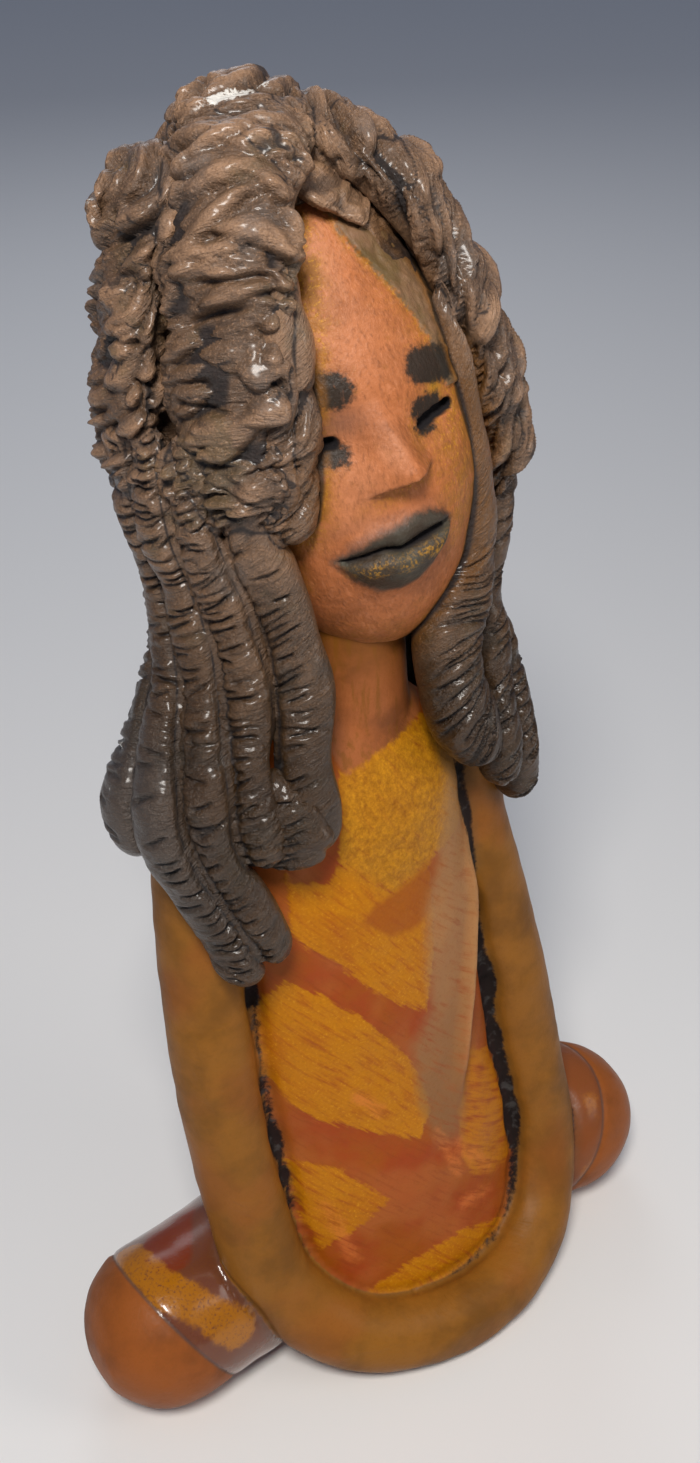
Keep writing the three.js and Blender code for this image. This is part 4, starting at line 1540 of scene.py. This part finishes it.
def painted_skin(colours):
    """Terracotta skin with ochre along the hair, dark brows and eyes, and grey lips flecked gold, with
    painted highlights on its lit parts and painted shade in its cuts and where it meets the hair.
    """
    coat = Paintwork("painted_skin", colours, fine=1900.0, broad=130.0)
    tree, fields = coat.tree, coat.fields
    coat.brushed("fibre", coat.place, (0.1, 0.15, 0), (1.0, 1.0, 0.35), 1500.0)
    coat.speckled("rubs", 380.0, 4.0, 0.7)
    coat.speckled("blotch", 240.0, 8.0, 0.8)
    fields["rubbed"] = coat.kept("ochre", ("rubs", 0.3, 0.6), clamp=True)
    fields["flecks"] = coat.kept(("speck", 0.55, 0.66), "ochre", clamp=True)
    fields["lower_lip"] = sums(tree, "ABSOLUTE", sums(tree, "ADD", stored(tree, "lip_side"), 2.6))
    for row in FACE_EDGES:
        coat.edged(*row)
    slip = coat.laid(shade_of(colours.hair, 0.9), (1.0, "hair_olive", 1, ("cloud", 0.35, 0.65)))
    lips = coat.laid(shade_of(colours.soot, 2.0), (1.0, "lip_grey", 1, ("cloud", 0.35, 0.7)))
    # Painted shade in the mouth cut and the eye slits
    slits = sums(tree, "MAXIMUM", coat.kept(("mouth", 0.5, -0.1)), coat.kept(("slit", 0.35, -0.05)))
    colour = coat.laid(
        "skin",
        # Painted highlight on the lit, raised parts of the face
        (0.85, "skin_pale", 1, "pale"),
        (0.55, "skin", 0.68, ("cloud", 0.45, 0.65)),
        (0.9, "ochre", 1, "rubbed"),
        (0.6, "gold", 1, "flecks"),
        (0.4, "ochre", 0.8, ("rubs", 0.55, 0.75)),
        (0.5, "skin", 0.5, ("blotch", 0.5, 0.72)),
        (0.4, "skin_pale", 1.15, ("blotch", 0.48, 0.3)),
        (0.6, "skin", 0.36, ("fibre", 0.48, 0.78)),
        (0.4, "skin_pale", 1.2, ("fibre", 0.47, 0.25)),
        (0.6, "shade", 1, "shade"),
        (0.9, slip, 1, "slip"),
        (0.85, "gold", 0.75, "gold_spot"),
        (0.97, "soot", 1, "brow", ("fibre", 1.0, 0.55)),
        (0.97, "soot", 1, "eye", ("fibre", 1.0, 0.55)),
        (0.8, "ochre", 0.7, ("gap", 2.4, 0.2), ("rubs", 0.25, 0.6)),
        # Painted shade along the line where the face meets the hair
        (0.85, "soot", 1, ("gap", 0.9, 0.2)),
        (0.6, "shade", 1, "lip_rim"),
        (0.95, lips, 1, "lips"),
        (0.75, "gold", 0.8, ("lower_lip", 2.4, 0.6), "lips", ("blotch", 0.42, 0.62), ("speck", 0.42, 0.62)),
        (1.0, "crease", 1, slits),
    )
    rough = scaled(tree, slits, 0.45, scaled(tree, fields["fibre"], 0.3, 0.36), clamp=True)
    height = scaled(tree, fields["fibre"], 0.8, fields["grain"])
    return coat.finish(colour, rough, height, 0.65, 0.0004, Specular_IOR_Level=0.35)


def painted_clay(colours):
    """Brushed dress with the neck above it, satin arms, and legs with bare ends, with painted sheen on the
    ridge of the dress and painted shade beyond it, in the crevices and under the chin.
    """
    coat = Paintwork("painted_clay", colours, fine=1500.0, broad=80.0)
    tree, fields = coat.tree, coat.fields
    coat.brushed("brush", stored(tree, "dress", "Vector"), (0, 0, 0.65), (0.14, 1.0, 1.0), 750.0)
    coat.brushed("streak", coat.place, (0, 0, 0), (1.0, 1.0, 0.15), 700.0)
    coat.speckled("wash", 45.0, 3.0, 0.5)
    coat.speckled("dabs", 700.0, 8.0, 0.85)
    coat.speckled("dust", 420.0, 4.0, 0.5)
    for row in BODY_EDGES:
        coat.edged(*row)
    coat.edged("bare", 0.4, 0.3, 400.0, coat.field("foot"))
    # Painted shade beside and in the crevices by the arms
    coat.edged("near_crevice", 2.4, 0.6, 400.0, coat.field("crevice"))
    coat.edged("in_crevice", 0.35, 0.45, 900.0, coat.field("crevice"))
    ragged = scaled(tree, sums(tree, "SUBTRACT", fields["brush"], 0.5), 5.0, coat.field("yellow"))
    coat.edged("brushed_yellow", 0.7, 0.7, 700.0, ragged)
    fields["worn"] = scaled(tree, coat.kept(("brush", 0.58, 0.78)), -0.55, 1.0)
    fields["from_foot"] = sums(tree, "ABSOLUTE", coat.field("foot"))
    far_side = coat.kept(("X", 0.0, 0.02))
    grainy = coat.laid(shade_of(colours.umber, 0.8), (1.0, "gold", 1.1, ("dabs", 0.3, 0.7)))
    # Band colour, partly painted sheen, lighter towards the top
    mauve = coat.laid(shade_of(colours.mauve, 0.62), (1.0, "mauve", 1, ("Z", 0.062, 0.11)))
    # Painted shade for the crevices, flecked with grey slip
    crevice_shade_paint = coat.laid("crease", (0.7, "hair_slip", 0.7, ("dust", 0.52, 0.7)))
    yellow = coat.laid(
        "yellow",
        (1.0, "orange", 1, ("brush", 0.44, 0.7)),
        (0.5, "orange", 1, ("wash", 0.52, 0.68)),
        (0.5, "gold", 1, ("speck", 0.55, 0.7)),
        (0.6, grainy, 1, "chest"),
    )
    # Painted shade: the neck is mixed darker than the face, and darker still towards the chin
    neck = coat.laid(
        shade_of(colours.skin, 0.72),
        (1.0, "skin", 0.42, ("cloud", 0.4, 0.65)),
        (0.8, "ochre", 0.4, ("Z", 0.163, 0.186)),
        (0.55, "ochre", 0.5, ("streak", 0.48, 0.68)),
    )
    foot = coat.laid("foot", (1.0, "foot", 0.7, ("cloud", 0.4, 0.7)))
    leg = coat.laid(
        "stocking",
        (1.0, "red", 0.55, "leg_red"),
        (0.9, "yellow", 0.75, "leg_gold", ("speck", 0.25, 0.5)),
        (0.55, foot, 1, far_side),
        (1.0, foot, 1, "bare"),
        (0.55, "hair_slip", 0.6, ("from_foot", 0.7, 0.1)),
    )
    arm = coat.laid("arm", (1.0, "arm", 0.62, ("cloud", 0.35, 0.7)), (0.4, "foot", 1, ("wash", 0.52, 0.7)))
    colour = coat.laid(
        "rust",
        (1.0, "red", 1, ("cloud", 0.35, 0.65)),
        (0.6, "pink", 1, ("wash", 0.48, 0.62)),
        (0.4, "red", 0.7, ("brush", 0.5, 0.72)),
        (0.85, "yellow", 1, "side_patch", ("brush", 0.7, 0.4)),
        (1.0, yellow, 1, "brushed_yellow", "worn"),
        (0.8, "rust", 1, "leaf"),
        (0.8, mauve, 1, "band", ("brush", 0.85, 0.45)),
        # Painted shade beyond the ridge of the dress
        (0.65, "umber", 1.1, "beyond_ridge", ("wash", 0.3, 0.6)),
        # Pale strokes, partly painted sheen
        (0.55, "pink", 1.7, "pale_smear", ("brush", 0.7, 0.4)),
        # Painted sheen along the ridge
        (0.5, "mauve", 1.5, "sheen", ("cloud", 0.3, 0.55)),
        (1.0, neck, 1, "neckline"),
        (1.0, leg, 1, "leg"),
        (1.0, arm, 1, "arm"),
        (0.22, "umber", 1, ("speck", 0.5, 0.3)),
        # Painted shade beside and in the crevices
        (0.55, "hair_olive", 0.8, "near_crevice"),
        (0.96, crevice_shade_paint, 1, "in_crevice"),
    )
    gloss = coat.kept("leg", sums(tree, "SUBTRACT", 1.0, fields["bare"]), scaled(tree, far_side, -0.7, 1.0))
    rough = scaled(tree, gloss, -0.26, scaled(tree, fields["cloud"], 0.3, 0.34))
    rough = scaled(tree, fields["in_crevice"], 0.4, rough, clamp=True)
    height = scaled(tree, coat.kept("brush", "brushed_yellow"), 1.0, fields["grain"])
    height = scaled(tree, coat.kept("dabs", "chest"), 1.2, height)
    others = {"Specular_IOR_Level": 0.18, "Coat_Weight": times(tree, gloss, 0.7), "Coat_Roughness": 0.16}
    return coat.finish(colour, rough, height, 0.4, 0.0004, **others)


# ---- stage


CAMERA_PLACE = (-0.1497, -0.2307, 0.3432)
CAMERA_TURN = (55, 0, -33)
CAMERA_FRAME, CAMERA_NEAR = 36, 0.01

# Soft lights: place, what they point at, width and power, and colour
LIGHTS = {
    "window": ((-0.28, -0.34, 0.76), (0, 0, 0.10), 0.2, 5.6, (1.0, 0.96, 0.91)),
    "fill": ((0.45, -0.60, 0.55), (0, 0, 0.10), 0.4, 1.3, (1.0, 0.95, 0.88)),
    "back": ((0.3, 0.7, 0.6), (0, 0, 0.2), 0.4, 0.9, (0.88, 0.93, 1.0)),
}
ROOM_COLOUR, ROOM_STRENGTH = (0.50, 0.60, 0.85, 1), 0.22
FLOOR_WIDTH, FLOOR_ROUGHNESS = 8, 0.6


def soft_light(name, place, aim, size, power, colour):
    data = bpy.data.lights.new(name, "AREA")
    data.shape = "DISK"
    data.size = size
    data.energy = power
    data.color = colour
    light = bpy.data.objects.new(name, data)
    light.location = place
    light.rotation_euler = (Vector(aim) - Vector(place)).to_track_quat("-Z", "Y").to_euler()
    bpy.context.scene.collection.objects.link(light)


class DOLL_OT_stage(bpy.types.Operator):
    """Sets the pale floor, the soft lights and the camera"""

    bl_idname = "doll.stage"
    bl_label = "Stage"

    def execute(self, context):
        scene = context.scene
        bpy.ops.object.select_all(action="DESELECT")
        bpy.ops.mesh.primitive_plane_add(size=FLOOR_WIDTH)
        floor = context.object
        floor.name = "floor"
        material, _, shader = new_material("pale_floor")
        shader.inputs["Base Color"].default_value = scene.doll_colours.floor
        shader.inputs["Roughness"].default_value = FLOOR_ROUGHNESS
        floor.data.materials.append(material)
        world = bpy.data.worlds.new("studio")
        world.use_nodes = True
        room = world.node_tree.nodes["Background"]
        room.inputs["Color"].default_value = ROOM_COLOUR
        room.inputs["Strength"].default_value = ROOM_STRENGTH
        scene.world = world
        scene.view_settings.view_transform = "Standard"
        for name, light in LIGHTS.items():
            soft_light(name, *light)
        camera_data = bpy.data.cameras.new("camera")
        camera_data.sensor_width = CAMERA_FRAME
        camera_data.lens = scene.doll_sizes.camera_lens
        camera_data.clip_start = CAMERA_NEAR
        camera = bpy.data.objects.new("camera", camera_data)
        camera.location = CAMERA_PLACE
        camera.rotation_euler = [math.radians(a) for a in CAMERA_TURN]
        scene.collection.objects.link(camera)
        scene.camera = camera
        return {"FINISHED"}


class DOLL_PT_panel(bpy.types.Panel):
    """Lists the steps that make the doll, and its sizes and colours"""

    bl_idname = "DOLL_PT_panel"
    bl_label = "Clay Doll"
    bl_space_type = "VIEW_3D"
    bl_region_type = "UI"
    bl_category = "Clay Doll"

    def draw(self, context):
        for step in STEPS:
            self.layout.operator(step.bl_idname)
        for group in (context.scene.doll_sizes, context.scene.doll_colours):
            for name in group.__annotations__:
                self.layout.prop(group, name)


STEPS = (DOLL_OT_body, DOLL_OT_head, DOLL_OT_scalp, DOLL_OT_crown, DOLL_OT_locks, DOLL_OT_stage)
CLASSES = (DollSizes, DollColours, *STEPS, DOLL_PT_panel)


def register():
    for item in CLASSES:
        bpy.utils.register_class(item)
    bpy.types.Scene.doll_sizes = PointerProperty(type=DollSizes)
    bpy.types.Scene.doll_colours = PointerProperty(type=DollColours)


def unregister():
    del bpy.types.Scene.doll_colours
    del bpy.types.Scene.doll_sizes
    for item in reversed(CLASSES):
        bpy.utils.unregister_class(item)


def main():
    register()
    bpy.ops.doll.body()
    bpy.ops.doll.head()
    bpy.ops.doll.scalp()
    bpy.ops.doll.crown()
    bpy.ops.doll.locks()
    bpy.ops.doll.stage()


if __name__ == "__main__":
    main()
